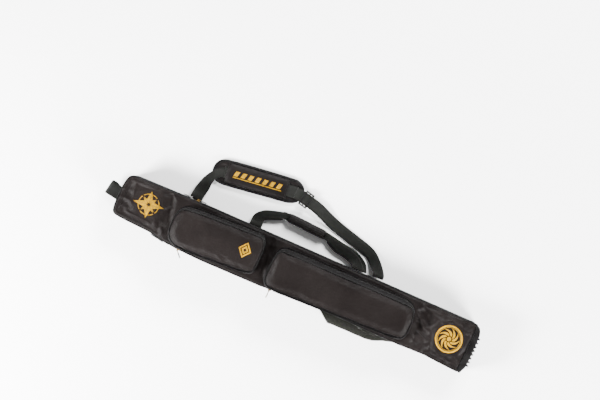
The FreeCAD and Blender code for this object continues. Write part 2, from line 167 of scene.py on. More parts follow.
def web_mat(name, dark, light):
    """Ribbed webbing: chevron ribs across, from the band's own length and width."""
    m, nt, bsdf = new_mat(name)
    uv = nt.nodes.new("ShaderNodeUVMap")
    sep = nt.nodes.new("ShaderNodeSeparateXYZ")
    nt.links.new(uv.outputs[0], sep.inputs[0])
    u, v = sep.outputs["X"], sep.outputs["Y"]
    zz = math_node(nt, "PINGPONG", v, 2.2)
    a = math_node(nt, "SINE", math_node(nt, "MULTIPLY", math_node(nt, "ADD", u, math_node(nt, "MULTIPLY", zz, 0.7)),
                                        2 * math.pi / 2.4))
    lines = math_node(nt, "SINE", math_node(nt, "MULTIPLY", v, 2 * math.pi / 2.2))
    h = math_node(nt, "ADD", a, math_node(nt, "MULTIPLY", lines, 0.5))
    tc = nt.nodes.new("ShaderNodeTexCoord")
    n1 = noise_node(nt, tc.outputs["Object"], 30.0, 4.0)
    f = math_node(nt, "ADD", math_node(nt, "MULTIPLY", n1, 0.7), math_node(nt, "MULTIPLY", h, 0.10))
    nt.links.new(ramp(nt, f, [(0.15, dark), (0.65, light)]), bsdf.inputs["Base Color"])
    bsdf.inputs["Roughness"].default_value = 0.42
    bsdf.inputs["Specular IOR Level"].default_value = 0.07
    bsdf.inputs["Sheen Weight"].default_value = 0.06
    bsdf.inputs["Sheen Tint"].default_value = (0.7, 0.72, 0.68, 1)
    bump(nt, bsdf, h, 0.00035)
    return m


def plastic(name, col, rough=0.35, grain=0.0001, spec=0.16):
    m, nt, bsdf = new_mat(name)
    tc = nt.nodes.new("ShaderNodeTexCoord")
    n1 = noise_node(nt, tc.outputs["Object"], 500.0, 3.0)
    n0 = noise_node(nt, tc.outputs["Object"], 25.0, 3.0)
    c2 = tuple(min(1, c * 1.7 + 0.004) for c in col)
    nt.links.new(ramp(nt, n0, [(0.3, col), (0.75, c2)]), bsdf.inputs["Base Color"])
    nt.links.new(math_node(nt, "ADD", math_node(nt, "MULTIPLY", n0, 0.2), rough - 0.1), bsdf.inputs["Roughness"])
    bsdf.inputs["Specular IOR Level"].default_value = spec
    bump(nt, bsdf, n1, grain)
    return m


def metal(name, dark, light, rough=0.32):
    m, nt, bsdf = new_mat(name)
    tc = nt.nodes.new("ShaderNodeTexCoord")
    n0 = noise_node(nt, tc.outputs["Object"], 160.0, 4.0, 0.65)
    nt.links.new(ramp(nt, n0, [(0.35, dark), (0.62, light)]), bsdf.inputs["Base Color"])
    bsdf.inputs["Metallic"].default_value = 0.95
    nt.links.new(math_node(nt, "ADD", math_node(nt, "MULTIPLY", n0, 0.25), rough - 0.1), bsdf.inputs["Roughness"])
    bump(nt, bsdf, n0, 0.0001)
    return m


def thread(name, dark, light, ang=0.0, pitch=0.9):
    """Satin stitch: close parallel threads with a silky gloss."""
    m, nt, bsdf = new_mat(name)
    tc = nt.nodes.new("ShaderNodeTexCoord")
    sep = nt.nodes.new("ShaderNodeSeparateXYZ")
    nt.links.new(tc.outputs["Object"], sep.inputs[0])
    a = math_node(nt, "ADD", math_node(nt, "MULTIPLY", sep.outputs["X"], math.cos(ang)),
                  math_node(nt, "MULTIPLY", sep.outputs["Y"], math.sin(ang)))
    s = math_node(nt, "SINE", math_node(nt, "MULTIPLY", a, 2 * math.pi / (pitch * MM)))
    n0 = noise_node(nt, tc.outputs["Object"], 220.0, 3.0)
    f = math_node(nt, "ADD", math_node(nt, "MULTIPLY", n0, 0.8), math_node(nt, "MULTIPLY", s, 0.16))
    nt.links.new(ramp(nt, f, [(0.15, dark), (0.6, light)]), bsdf.inputs["Base Color"])
    bsdf.inputs["Roughness"].default_value = 0.42
    bsdf.inputs["Metallic"].default_value = 0.6
    bsdf.inputs["Specular IOR Level"].default_value = 0.1
    bsdf.inputs["Sheen Weight"].default_value = 0.05
    bsdf.inputs["Sheen Tint"].default_value = (1.0, 0.75, 0.3, 1)
    bump(nt, bsdf, s, 0.0003)
    return m


M_SHELL = fabric("shell_nylon", (0.0010, 0.0008, 0.0008), (0.0027, 0.0022, 0.0021), spec=0.02)
M_PANEL = fabric("panel_nylon", (0.0030, 0.0024, 0.0023), (0.0074, 0.0059, 0.0056), rough=0.31, spec=0.042)
M_BACK = fabric("back_nylon", (0.0030, 0.0025, 0.0025), (0.0080, 0.0068, 0.0068), pitch=1.6, weave=0.0004, spec=0.05)
M_LINING = fabric("lining", (0.030, 0.030, 0.031), (0.055, 0.055, 0.056), pitch=0.8, rough=0.5)
M_PAD = fabric("pad_nylon", (0.0019, 0.0015, 0.0015), (0.0050, 0.0040, 0.0038), rough=0.36, spec=0.06)
M_PIPE = fabric("piping_cloth", (0.0008, 0.0007, 0.0007), (0.0022, 0.0019, 0.0019), pitch=0.8, rough=0.35, crinkle=0.0002, spec=0.07)
M_TAPE = fabric("zip_tape", (0.0009, 0.0008, 0.0008), (0.0024, 0.0021, 0.0021), pitch=0.9, rough=0.4, crinkle=0.0002, spec=0.05)
M_WEB = web_mat("webbing", (0.0016, 0.0017, 0.0014), (0.0062, 0.0065, 0.0054))
M_RUBBER = plastic("boot_rubber", (0.0020, 0.0018, 0.0018), 0.42, 0.00025, 0.045)
M_COIL = plastic("zip_coil", (0.0025, 0.0025, 0.0025), 0.34, 0.0001)
M_BUCKLE = plastic("buckle_acetal", (0.0022, 0.0022, 0.0021), 0.30, 0.00008, 0.12)
M_PULLTAB = plastic("pull_rubber", (0.0025, 0.0022, 0.0021), 0.42, 0.0002)
M_BRASS = metal("antique_brass", (0.045, 0.024, 0.006), (0.26, 0.155, 0.045))
M_STEEL = metal("slider_nickel", (0.14, 0.14, 0.145), (0.50, 0.49, 0.48), 0.25)
M_GOLD = thread("gold_thread", (0.16, 0.072, 0.001), (0.60, 0.33, 0.003))
M_GOLD2 = thread("gold_thread_cross", (0.14, 0.066, 0.001), (0.50, 0.28, 0.003), math.pi / 2)
M_STITCH = fabric("black_thread", (0.0020, 0.0018, 0.0018), (0.0070, 0.0066, 0.0064), pitch=0.5, rough=0.4, crinkle=0.0001)
M_NET = fabric("net_cord", (0.0018, 0.0019, 0.0013), (0.0052, 0.0054, 0.0035), pitch=0.7, rough=0.5, crinkle=0.0001)


# ------------------------------------------------------------------ mesh helpers
def make(name, verts, faces, mat, body=None, uv=None, smooth=True, rep=(), slot=None):
    me = bpy.data.meshes.new(name)
    v = np.asarray(verts, float) * MM
    me.from_pydata([tuple(p) for p in v], [], [tuple(int(i) for i in f) for f in faces])
    me.validate()
    me.update()
    if smooth:
        me.polygons.foreach_set("use_smooth", [True] * len(me.polygons))
    if uv is not None:
        lay = me.uv_layers.new(name="UVMap")
        for lp in me.loops:
            lay.data[lp.index].uv = uv[lp.vertex_index]
    o = bpy.data.objects.new(name, me)
    scene.collection.objects.link(o)
    me.materials.append(mat)
    if body:
        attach(o, body)
    if rep:
        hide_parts(*rep)
    return o


def grid_faces(n, m, wrap_n=False, wrap_m=False, base=0, flip=False):
    f = []
    for i in range(n if wrap_n else n - 1):
        for j in range(m if wrap_m else m - 1):
            a = base + i * m + j
            b = base + ((i + 1) % n) * m + j
            c = base + ((i + 1) % n) * m + (j + 1) % m
            d = base + i * m + (j + 1) % m
            f.append((a, d, c, b) if flip else (a, b, c, d))
    return f


def resample(path, step, closed=False):
    p = [np.array(q, float) for q in path]
    if closed:
        p.append(p[0])
    p = np.array(p)
    seg = np.linalg.norm(np.diff(p, axis=0), axis=1)
    s = np.concatenate([[0], np.cumsum(seg)])
    n = max(2, int(round(s[-1] / step)) + 1)
    t = np.linspace(0, s[-1], n)
    out = np.stack([np.interp(t, s, p[:, k]) for k in range(p.shape[1])], 1)
    return out[:-1] if closed else out


def chaikin(path, it=2, closed=False):
    p = np.array(path, float)
    for _ in range(it):
        if closed:
            q = np.roll(p, -1, 0)
            p = np.stack([0.75 * p + 0.25 * q, 0.25 * p + 0.75 * q], 1).reshape(-1, p.shape[1])
        else:
            a, b = p[:-1], p[1:]
            mid = np.stack([0.75 * a + 0.25 * b, 0.25 * a + 0.75 * b], 1).reshape(-1, p.shape[1])
            p = np.concatenate([p[:1], mid, p[-1:]])
    return p


def tangents(p, closed=False):
    if closed:
        d = np.roll(p, -1, 0) - np.roll(p, 1, 0)
    else:
        d = np.gradient(p, axis=0)
    return d / np.maximum(np.linalg.norm(d, axis=1, keepdims=True), 1e-9)


def dist_outline(P, poly):
    """Distance of points to a closed outline."""
    q = np.array(poly, float)
    r = np.roll(q, -1, 0)
    best = np.full(len(P), 1e9)
    for a, b in zip(q, r):
        ab = b - a
        t = np.clip(((P - a) @ ab) / max(ab @ ab, 1e-9), 0, 1)
        best = np.minimum(best, np.linalg.norm(P - a - t[:, None] * ab, axis=1))
    return best


def span(poly, x):
    ys = []
    n = len(poly)
    for i in range(n):
        (x0, y0), (x1, y1) = poly[i], poly[(i + 1) % n]
        if abs(x1 - x0) < 1e-9:
            if abs(x - x0) < 1e-6:
                ys += [y0, y1]
            continue
        if min(x0, x1) - 1e-9 <= x <= max(x0, x1) + 1e-9:
            ys.append(y0 + (y1 - y0) * (x - x0) / (x1 - x0))
    return min(ys), max(ys)


def nz(x, y, z=0.0, s=0.01, o=0.0):
    return noise.noise(Vector((x * s + o, y * s + 3.1 * o, z * s + 1.7 * o)))


def fold(P, a, b, w, h, sharp=1.0):
    """A soft ridge (h > 0) or valley along the line a to b."""
    a, b = np.array(a, float), np.array(b, float)
    ab = b - a
    t = ((P - a) @ ab) / (ab @ ab)
    tc = np.clip(t, 0, 1)
    d = np.linalg.norm(P - a - tc[:, None] * ab, axis=1)
    side = np.sin(np.pi * np.clip(tc, 0.02, 0.98)) ** 0.7
    return h * np.exp(-(d / w) ** 2 * sharp) * side


def rounded(d, r):
    t = 1 - np.clip(d / r, 0, 1)
    return np.sqrt(np.maximum(0, 1 - t * t))


def panel(name, poly, x0, x1, nx, ny, top, bot, mat, body, **kw):
    """Closed slab over an outline, one span of y for each x. top and bot are functions of (P, distance to edge)."""
    poly = [tuple(p) for p in poly]
    t = np.linspace(0, 1, nx)
    t = 0.88 * t + 0.12 * (0.5 - 0.5 * np.cos(np.pi * t))
    v = np.linspace(0, 1, ny)
    v = 0.6 * v + 0.4 * (0.5 - 0.5 * np.cos(np.pi * v))
    pts = []
    for x in x0 + (x1 - x0) * t:
        a, b = span(poly, x)
        for w in v:
            pts.append((x, a + (b - a) * w))
    P = np.array(pts)
    d = dist_outline(P, poly)
    d = np.minimum(d, np.abs(P[:, 0] - x0) + 1e9 * (kw.get("cut0", True) is False))
    if kw.get("cut1", True):
        d = np.minimum(d, np.abs(x1 - P[:, 0]))
    zt, zb = top(P, d), bot(P, d)
    n = nx * ny
    verts = np.concatenate([np.column_stack([P, zt]), np.column_stack([P, zb])])
    faces = grid_faces(nx, ny) + grid_faces(nx, ny, base=n, flip=True)
    rim = [i * ny for i in range(nx)] + [(nx - 1) * ny + j for j in range(1, ny)] \
        + [i * ny + ny - 1 for i in range(nx - 2, -1, -1)] + [j for j in range(ny - 2, 0, -1)]
    for a, b in zip(rim, rim[1:] + rim[:1]):
        faces.append((a, a + n, b + n, b))
    return make(name, verts, faces, mat, body, rep=kw.get("rep", ()), slot=kw.get("slot"))


def wall(name, path, z0, z1, nz_, thick, out, mat, body, closed=False, step=6.0, **kw):
    """Standing strip of cloth along a path. out(s, x, y, z) moves it outwards."""
    p = resample(path, step, closed)
    tg = tangents(p, closed)
    nn = np.column_stack([tg[:, 1], -tg[:, 0]])
    n = len(p)
    if np.isscalar(z1):
        z1 = np.full(n, z1, float)
    else:
        z1 = np.array([z1(q) for q in p])
    s = np.concatenate([[0], np.cumsum(np.linalg.norm(np.diff(p, axis=0), axis=1))])
    vo, vi = [], []
    for i in range(n):
        for j in range(nz_):
            t = j / (nz_ - 1)
            z = z0 + (z1[i] - z0) * t
            o = out(s[i], p[i, 0], p[i, 1], z, t)
            vo.append((p[i, 0] + nn[i, 0] * o, p[i, 1] + nn[i, 1] * o, z))
            vi.append((p[i, 0] + nn[i, 0] * (o - thick), p[i, 1] + nn[i, 1] * (o - thick), z))
    N = n * nz_
    faces = grid_faces(n, nz_, wrap_n=closed) + grid_faces(n, nz_, wrap_n=closed, base=N, flip=True)
    last = n if closed else n - 1
    for i in range(last):
        k = (i + 1) % n
        faces.append((i * nz_, i * nz_ + N, k * nz_ + N, k * nz_))
        a, b = i * nz_ + nz_ - 1, k * nz_ + nz_ - 1
        faces.append((a, b, b + N, a + N))
    if not closed:
        for j in range(nz_ - 1):
            faces.append((j, j + 1, j + 1 + N, j + N))
            a = (n - 1) * nz_ + j
            faces.append((a, a + N, a + 1 + N, a + 1))
    o = make(name, vo + vi, faces, mat, body, rep=kw.get("rep", ()), slot=kw.get("slot"))
    fix_normals(o)
    return o


def fix_normals(o):
    import bmesh
    bm = bmesh.new()
    bm.from_mesh(o.data)
    bmesh.ops.recalc_face_normals(bm, faces=bm.faces)
    bm.to_mesh(o.data)
    bm.free()
    return o


def tube(name, path, r, mat, body, sides=8, closed=False, step=5.0, squash=1.0, ref=None, **kw):
    p = resample(path, step, closed)
    tg = tangents(p, closed)
    n = len(p)
    verts = []
    for i in range(n):
        a = np.array([0, 0, 1.0]) if ref is None else np.array(ref, float)
        if ref is None and abs(tg[i] @ a) > 0.9:
            a = np.array([0, 1.0, 0])
        u = np.cross(tg[i], a)
        u /= np.linalg.norm(u)
        v = np.cross(u, tg[i])
        rr = r if closed or 0 < i < n - 1 else r * 0.6
        for k in range(sides):
            c = 2 * math.pi * k / sides
            verts.append(p[i] + rr * (math.cos(c) * u + squash * math.sin(c) * v))
    faces = grid_faces(n, sides, wrap_n=closed, wrap_m=True)
    if not closed:
        faces.append(tuple(range(sides)))
        faces.append(tuple((n - 1) * sides + k for k in reversed(range(sides))))
    o = make(name, verts, faces, mat, body, rep=kw.get("rep", ()), slot=kw.get("slot"))
    return fix_normals(o)


def catmull(P, per):
    P = np.array(P, float)
    Q = np.vstack([2 * P[0] - P[1], P, 2 * P[-1] - P[-2]])
    out = []
    for i in range(1, len(Q) - 2):
        a, b, c, d = Q[i - 1:i + 3]
        n = per if np.isscalar(per) else per[i - 1]
        for k in range(n):
            t = k / n
            out.append(0.5 * ((2 * b) + (c - a) * t + (2 * a - 5 * b + 4 * c - d) * t * t
                              + (3 * b - a - 3 * c + d) * t ** 3))
    out.append(P[-1])
    return np.array(out)


def web(name, st, mat, body, th=2.4, step=5.0, cup=0.0, cols=9, wav=0.5, **kw):
    """Webbing band through stations (x, y, z, half-width vector)."""
    st = np.array(st, float)
    seg = np.linalg.norm(np.diff(st[:, :3], axis=0), axis=1)
    per = [max(2, int(round(s / step))) for s in seg]
    c = catmull(st, per)
    n = len(c)
    s = np.concatenate([[0], np.cumsum(np.linalg.norm(np.diff(c[:, :3], axis=0), axis=1))])
    tg = tangents(c[:, :3])
    verts, uv = [], []
    prev = None
    for i in range(n):
        w = c[i, 3:6]
        L = np.linalg.norm(w)
        nn = np.cross(w, tg[i])
        nn /= max(np.linalg.norm(nn), 1e-9)
        if prev is not None and nn @ prev < 0:
            nn = -nn
        if prev is None and nn[2] < 0:
            nn = -nn
        prev = nn
        top, bot = [], []
        for j in range(cols):
            q = -1 + 2 * j / (cols - 1)
            edge = th / 2 * (1 - 0.55 * abs(q) ** 6)
            ripple = cup * (1 - q * q) + wav * nz(s[i], q * L, 0, 0.045, 1.3 + len(name))
            base = c[i, :3] + w * q + nn * ripple
            top.append(base + nn * edge)
            bot.append(base - nn * edge)
        ring = top + bot[::-1]
        verts += ring
        uv += [(s[i], L * (-1 + 2 * j / (cols - 1))) for j in range(cols)] \
            + [(s[i], L * (-1 + 2 * j / (cols - 1))) for j in reversed(range(cols))]
    m = 2 * cols
    faces = grid_faces(n, m, wrap_m=True)
    faces.append(tuple(range(m)))
    faces.append(tuple((n - 1) * m + k for k in reversed(range(m))))
    o = make(name, verts, faces, mat, body, uv=uv, rep=kw.get("rep", ()), slot=kw.get("slot", "webbing"))
    return fix_normals(o)


def puff(o, voxel=5.0, pressure=4.0, cap=6.0, grow=0.0, frames=20, keep=None, sub=1):
    """Swells a closed soft form by cloth simulation and holds every point within cap of where it was."""
    bpy.ops.object.select_all(action="DESELECT")
    o.select_set(True)
    bpy.context.view_layer.objects.active = o
    m = o.modifiers.new("remesh", "REMESH")
    m.mode = "VOXEL"
    m.voxel_size = voxel * MM
    m.use_smooth_shade = True
    bpy.ops.object.modifier_apply(modifier="remesh")
    m = o.modifiers.new("smooth", "SMOOTH")
    m.factor = 0.5
    m.iterations = 7
    bpy.ops.object.modifier_apply(modifier="smooth")
    rest = np.zeros(len(o.data.vertices) * 3)
    o.data.vertices.foreach_get("co", rest)
    rest = rest.reshape(-1, 3)
    c = o.modifiers.new("cloth", "CLOTH")
    st = c.settings
    st.quality = 5
    st.mass = 0.3
    st.use_pressure = True
    st.uniform_pressure_force = pressure
    st.effector_weights.gravity = 0
    st.shrink_min = -grow
    st.bending_stiffness = 0.4
    st.tension_stiffness = st.compression_stiffness = 12
    c.point_cache.frame_start = 1
    c.point_cache.frame_end = frames
    c.collision_settings.use_collision = False
    for f in range(1, frames + 1):
        scene.frame_set(f)
    dg = bpy.context.evaluated_depsgraph_get()
    ev = o.evaluated_get(dg).to_mesh()
    new = np.zeros(len(ev.vertices) * 3)
    ev.vertices.foreach_get("co", new)
    new = new.reshape(-1, 3)
    o.evaluated_get(dg).to_mesh_clear()
    o.modifiers.remove(c)
    scene.frame_set(1)
    d = new - rest
    L = np.linalg.norm(d, axis=1, keepdims=True)
    d = d * np.minimum(1.0, cap * MM / np.maximum(L, 1e-9))
    if keep is not None:
        d = d * keep(rest / MM)[:, None]
    new = rest + d
    o.data.vertices.foreach_set("co", new.reshape(-1))
    o.data.update()
    if sub:
        m = o.modifiers.new("sub", "SUBSURF")
        m.levels = m.render_levels = sub
        bpy.ops.object.modifier_apply(modifier="sub")
    o.data.polygons.foreach_set("use_smooth", [True] * len(o.data.polygons))
    return o


def surface(*objs):
    """Height of the top of these pieces at (x, y), in mm."""
    trees = []
    for o in objs:
        me = o.data
        trees.append(BVHTree.FromPolygons([v.co.copy() for v in me.vertices], [tuple(p.vertices) for p in me.polygons]))

    zs = sorted(v.co.z for o in objs for v in o.data.vertices)
    top_ = zs[int(len(zs) * 0.75)] / MM

    def f(x, y, default=None):
        best = None
        for t in trees:
            hit = t.ray_cast(Vector((x * MM, y * MM, 1.0)), Vector((0, 0, -1)))
            if hit[0] is not None and (best is None or hit[0].z > best):
                best = hit[0].z
        if best is None:
            return top_ if default is None else default
        return best / MM
    return f


def relief(name, polys, surf, h, mat, body, inset=0.9, sink=0.8, **kw):
    """Raised embroidery: each closed outline stands h above the cloth, with sloping edges."""
    verts, faces = [], []
    for poly in polys:
        p = resample(poly, 1.7, True)
        tg = tangents(p, True)
        area = np.sum(p[:, 0] * np.roll(p[:, 1], -1) - np.roll(p[:, 0], -1) * p[:, 1])
        nn = np.column_stack([-tg[:, 1], tg[:, 0]]) * (1 if area > 0 else -1)
        b = len(verts)
        n = len(p)
        for q in p:
            verts.append((q[0], q[1], surf(q[0], q[1]) - sink))
        for q in p:
            verts.append((q[0], q[1], surf(q[0], q[1]) + h * 0.45))
        for q, w in zip(p, nn):
            r = q + w * inset
            verts.append((r[0], r[1], surf(r[0], r[1]) + h))
        for i in range(n):
            k = (i + 1) % n
            faces.append((b + i, b + k, b + n + k, b + n + i))
            faces.append((b + n + i, b + n + k, b + 2 * n + k, b + 2 * n + i))
        faces.append(tuple(b + 2 * n + i for i in range(n)))
        faces.append(tuple(b + i for i in reversed(range(n))))
    o = make(name, verts, faces, mat, body, smooth=False, **kw)
    import bmesh
    bm = bmesh.new()
    bm.from_mesh(o.data)
    bmesh.ops.triangulate(bm, faces=[f for f in bm.faces if len(f.verts) > 4])
    bmesh.ops.recalc_face_normals(bm, faces=bm.faces)
    bm.to_mesh(o.data)
    bm.free()
    return o


def stitches(name, path, surf, mat, body, pitch=4.2, length=2.9, w=0.45, lift=0.35, closed=False):
    """A row of thread stitches lying on a surface along a path of (x, y)."""
    p = resample(path, pitch, closed)
    tg = tangents(p, closed)
    verts, faces = [], []
    for q, t in zip(p, tg):
        n = np.array([-t[1], t[0]])
        a, c = q - t * length / 2, q + t * length / 2
        za, zm, zc = surf(*a) + lift * 0.1, surf(*q) + lift, surf(*c) + lift * 0.1
        b = len(verts)
        for (r, z) in ((a, za), (q, zm), (c, zc)):
            for s, dz in ((-1, -0.3), (0, 0.25), (1, -0.3), (0, -0.6)):
                verts.append((r[0] + n[0] * w * s, r[1] + n[1] * w * s, z + dz))
        for k in range(2):
            for j in range(4):
                faces.append((b + 4 * k + j, b + 4 * k + (j + 1) % 4, b + 4 * k + 4 + (j + 1) % 4, b + 4 * k + 4 + j))
        faces.append((b, b + 1, b + 2, b + 3))
        faces.append((b + 11, b + 10, b + 9, b + 8))
    return fix_normals(make(name, verts, faces, mat, body))


def teeth(name, path, up, mat, body, pitch=2.6, w=2.4, l=1.5, h=1.5, side=1, **kw):
    """Coil turns of a zip along a 3-D path. up is the direction they stand in, side pushes them to their own half."""
    p = resample(path, pitch)
    tg = tangents(p)
    verts, faces = [], []
    for i, (q, t) in enumerate(zip(p, tg)):
        u = np.array(up(q), float)
        u -= (u @ t) * t
        u /= np.linalg.norm(u)
        c = np.cross(t, u) * side
        t2 = t + 0.25 * c
        b = len(verts)
        for a0 in (-0.5, 0.5):
            for (cw, ch) in ((0.0, -0.5), (1.0, -0.5), (1.15, 0.1), (0.85, 0.5), (0.15, 0.5), (-0.1, 0.1)):
                verts.append(q + t2 * l * a0 + c * w * cw + u * h * ch)
        for j in range(6):
            faces.append((b + j, b + (j + 1) % 6, b + 6 + (j + 1) % 6, b + 6 + j))
        faces.append(tuple(b + j for j in range(6)))
        faces.append(tuple(b + 11 - j for j in range(6)))
    return fix_normals(make(name, verts, faces, mat, body, rep=kw.get("rep", ()), slot=kw.get("slot", "zip_coil")))


def bevel(o, w, seg=2, ang=35):
    bpy.ops.object.select_all(action="DESELECT")
    o.select_set(True)
    bpy.context.view_layer.objects.active = o
    m = o.modifiers.new("bevel", "BEVEL")
    m.width = w * MM
    m.segments = seg
    m.limit_method = "ANGLE"
    m.angle_limit = math.radians(ang)
    bpy.ops.object.modifier_apply(modifier="bevel")
    return o


def solidify_boxes(name, boxes, org, ang, mat, body, bev=0.5, seg=2, smooth=True, **kw):
    """Boxes (t0, t1, n0, n1, z0, z1) in a frame turned about Z, each a bevelled block."""
    ca, sa = math.cos(math.radians(ang)), math.sin(math.radians(ang))
    verts, faces = [], []
    for (t0, t1, n0, n1, z0, z1) in boxes:
        b = len(verts)
        for z in (z0, z1):
            for (t, n) in ((t0, n0), (t1, n0), (t1, n1), (t0, n1)):
                verts.append((org[0] + t * ca - n * sa, org[1] + t * sa + n * ca, z))
        faces += [(b, b + 3, b + 2, b + 1), (b + 4, b + 5, b + 6, b + 7)]
        for j in range(4):
            k = (j + 1) % 4
            faces.append((b + j, b + k, b + 4 + k, b + 4 + j))
    o = make(name, verts, faces, mat, body, smooth=False, **kw)
    bevel(o, bev, seg)
    return fix_normals(o)


# ------------------------------------------------------------------ camera, floor and light
cam_data = bpy.data.cameras.new("camera")
cam_data.sensor_width = 36
cam_data.lens = 36 * 5.0 / 1.98
cam = bpy.data.objects.new("camera", cam_data)
scene.collection.objects.link(cam)
scene.camera = cam
target = Vector((-0.0862, 0.2191, 0.08))
right = Vector((0.910, 0.4146, 0)).normalized()
up = Vector((-0.4146, 0.910, 0)).normalized()
R = Matrix((right, up, right.cross(up))).transposed().to_4x4()
cam.matrix_world = Matrix.Translation(target + Vector((0, 0, 5.0))) @ R

floor_me = bpy.data.meshes.new("floor")
floor_me.from_pydata([(-6, -6, -0.0006), (6, -6, -0.0006), (6, 6, -0.0006), (-6, 6, -0.0006)], [], [(0, 1, 2, 3)])
floor = bpy.data.objects.new("floor", floor_me)
scene.collection.objects.link(floor)
fm, fnt, fb = new_mat("floor_white")
fb.inputs["Base Color"].default_value = (0.97, 0.97, 0.97, 1)
fb.inputs["Roughness"].default_value = 0.9
fb.inputs["Specular IOR Level"].default_value = 0.1
floor_me.materials.append(fm)

world = bpy.data.worlds.new("studio")
scene.world = world
world.use_nodes = True
world.node_tree.nodes["Background"].inputs[0].default_value = (1, 1, 1, 1)
world.node_tree.nodes["Background"].inputs[1].default_value = 0.35


def area_light(name, loc, aim, size, size_y, power):
    d = bpy.data.lights.new(name, "AREA")
    d.shape = "RECTANGLE"
    d.size, d.size_y = size, size_y
    d.energy = power
    o = bpy.data.objects.new(name, d)
    scene.collection.objects.link(o)
    o.location = loc
    o.rotation_euler = (Vector(aim) - Vector(loc)).to_track_quat("-Z", "Y").to_euler()
    return o


area_light("key", (-1.9, -1.5, 1.55), (0, 0, 0.05), 1.0, 1.0, 600)
area_light("fill", (3.4, -1.8, 1.7), (0.1, 0, 0.05), 1.6, 1.6, 950)
area_light("rim", (0.6, 3.6, 2.6), (0, 0.1, 0.05), 2.2, 1.4, 750)

# ------------------------------------------------------------------ rear shell
CUT = 616.9
SKIN = [p for p in OUT]
zero = lambda P, d: np.zeros(len(P))


def back_bottom(P, d):
    """Back face: flat where it rests, rounded up at its edges, with quilted channels."""
    z = 3.2 * (1 - rounded(d, 5.0))
    for k in range(-9, 10):
        for s in (-1, 1):
            q = (P[:, 0] * 0.7071 + s * P[:, 1] * 0.7071 - k * 62.0)
            z += 1.1 * np.exp(-(q / 2.2) ** 2) * (d > 14)
    return np.minimum(z, 3.4)


def zbound(fn, a, b):
    return lambda P, d: np.clip(fn(P, d), a, b)


panel("back_panel_cloth", SKIN, -635.9, CUT, 230, 56, lambda P, d: 3.9 + 0 * d, back_bottom, M_BACK, "shell",
      rep=["back_panel"], slot="shell_fabric")


def sway(s, x, y, z, t, amp=1.6, o=0.0):
    """Soft wave of a cloth wall: fuller in the middle, with slow dents and a few upright creases."""
    belly = math.sin(math.pi * t)
    a = nz(x, z, 0, 0.016, 4.0 + o) * amp * belly
    b = nz(x * 1.0, z * 0.35, 0, 0.05, 9.0 + o) * 0.55 * amp * belly
    return -0.9 + 0.9 * belly + a + b


path_rear = [(616.9, 86.66), (604, 86.5), (-405, 73.5), (-606, 66.55), (-616, 65.2), (-624, 60.8), (-630, 52),
             (-633.5, 38), (-636, 18), (-636, -44), (-633.9, -59.6)]
path_low = [(-634.0, -60), (-632, -66), (-628, -71), (-620, -75), (-604, -76.2), (-580, -78), (-490, -81), (-440, -90),
            (-385, -95), (-300, -96.5), (-100, -92), (0, -85), (95, -78.5), (405, -78.5), (440, -76.5), (495, -74),
            (540, -77), (600, -79.5), (616.9, -80.1)]

wall("gusset_handle_side_cloth", path_rear, 2.5, 60.5, 13, 3.4, lambda s, x, y, z, t: sway(s, x, y, z, t), M_SHELL, "shell",
     rep=["gusset_handle_side", "gusset_top_end"], slot="shell_fabric")


def low_out(s, x, y, z, t):
    o = sway(s, x, y, z, t, 1.8, 2.0)
    if 60 < x < 440:
        q = max(0.0, min(1.0, (x - 78) / 45.0)) * max(0.0, min(1.0, (422 - x) / 45.0))
        q = q * q * (3 - 2 * q)
        o -= 27.0 * q * math.sin(math.pi * min(1.0, max(0.0, (z - 3) / 70.0))) ** 0.75
    return o


wall("gusset_lower_side_cloth", path_low, 2.5, 89.0, 19, 3.2, low_out, M_SHELL, "shell",
     rep=["gusset_lower_side", "gusset_lower_base", "bottle_recess"], slot="shell_fabric")


def off(path, d):
    """Outline path moved outwards by d."""
    p = resample(path, 6.0)
    tg = tangents(p)
    return p + np.column_stack([tg[:, 1], -tg[:, 0]]) * d


def with_z(p, z):
    return np.column_stack([p, np.full(len(p), float(z))])


full_path = path_rear[:-1] + path_low
tube("back_piping_cord", with_z(off(full_path[:11] + path_low[1:13], 0.4), 2.8), 2.1, M_PIPE, "shell", rep=["back_piping"],
     slot="piping")
tube("back_piping_cord_b", with_z(off(path_low[13:], 0.4), 2.8), 2.1, M_PIPE, "shell", slot="piping")
# zip: tapes, coils
wall("main_zip_tape_rear_cloth", path_rear, 60.0, 68.9, 4, 1.3, lambda s, x, y, z, t: -1.0, M_TAPE, "shell",
     rep=["main_zip_tape_rear"], slot="zip_tape")
wall("main_zip_tape_front_cloth", path_rear, 71.5, 80.0, 4, 1.3, lambda s, x, y, z, t: -1.0, M_TAPE, "cover",
     rep=["main_zip_tape_front"], slot="zip_tape")
outn = lambda q: (0.0, 0.0, 1.0)


def side_up(q):
    return (0, 1, 0) if q[0] > -625 else (-1, 0, 0)


teeth("main_zip_coil_rear_turns", with_z(off(path_rear, -1.5), 69.9), side_up, M_COIL, "shell", 2.6, 2.6, 1.5, 1.9, side=1,
      rep=["main_zip_coil_rear"])
teeth("main_zip_coil_front_turns", with_z(off(path_rear, -1.5), 70.6), side_up, M_COIL, "cover", 2.6, 2.6, 1.5, 1.9, side=-1,
      rep=["main_zip_coil_front"])
tube("zip_guard_rear", with_z(off(path_rear, -0.4), 61.0), 1.3, M_PIPE, "shell", slot="piping")
wall("cover_hinge_binding_cloth", path_low, 82.0, 89.1, 4, 1.6, lambda s, x, y, z, t: 0.9 + 0.3 * math.sin(math.pi * t), M_PIPE, "shell",
     rep=["cover_hinge_binding"], slot="piping")

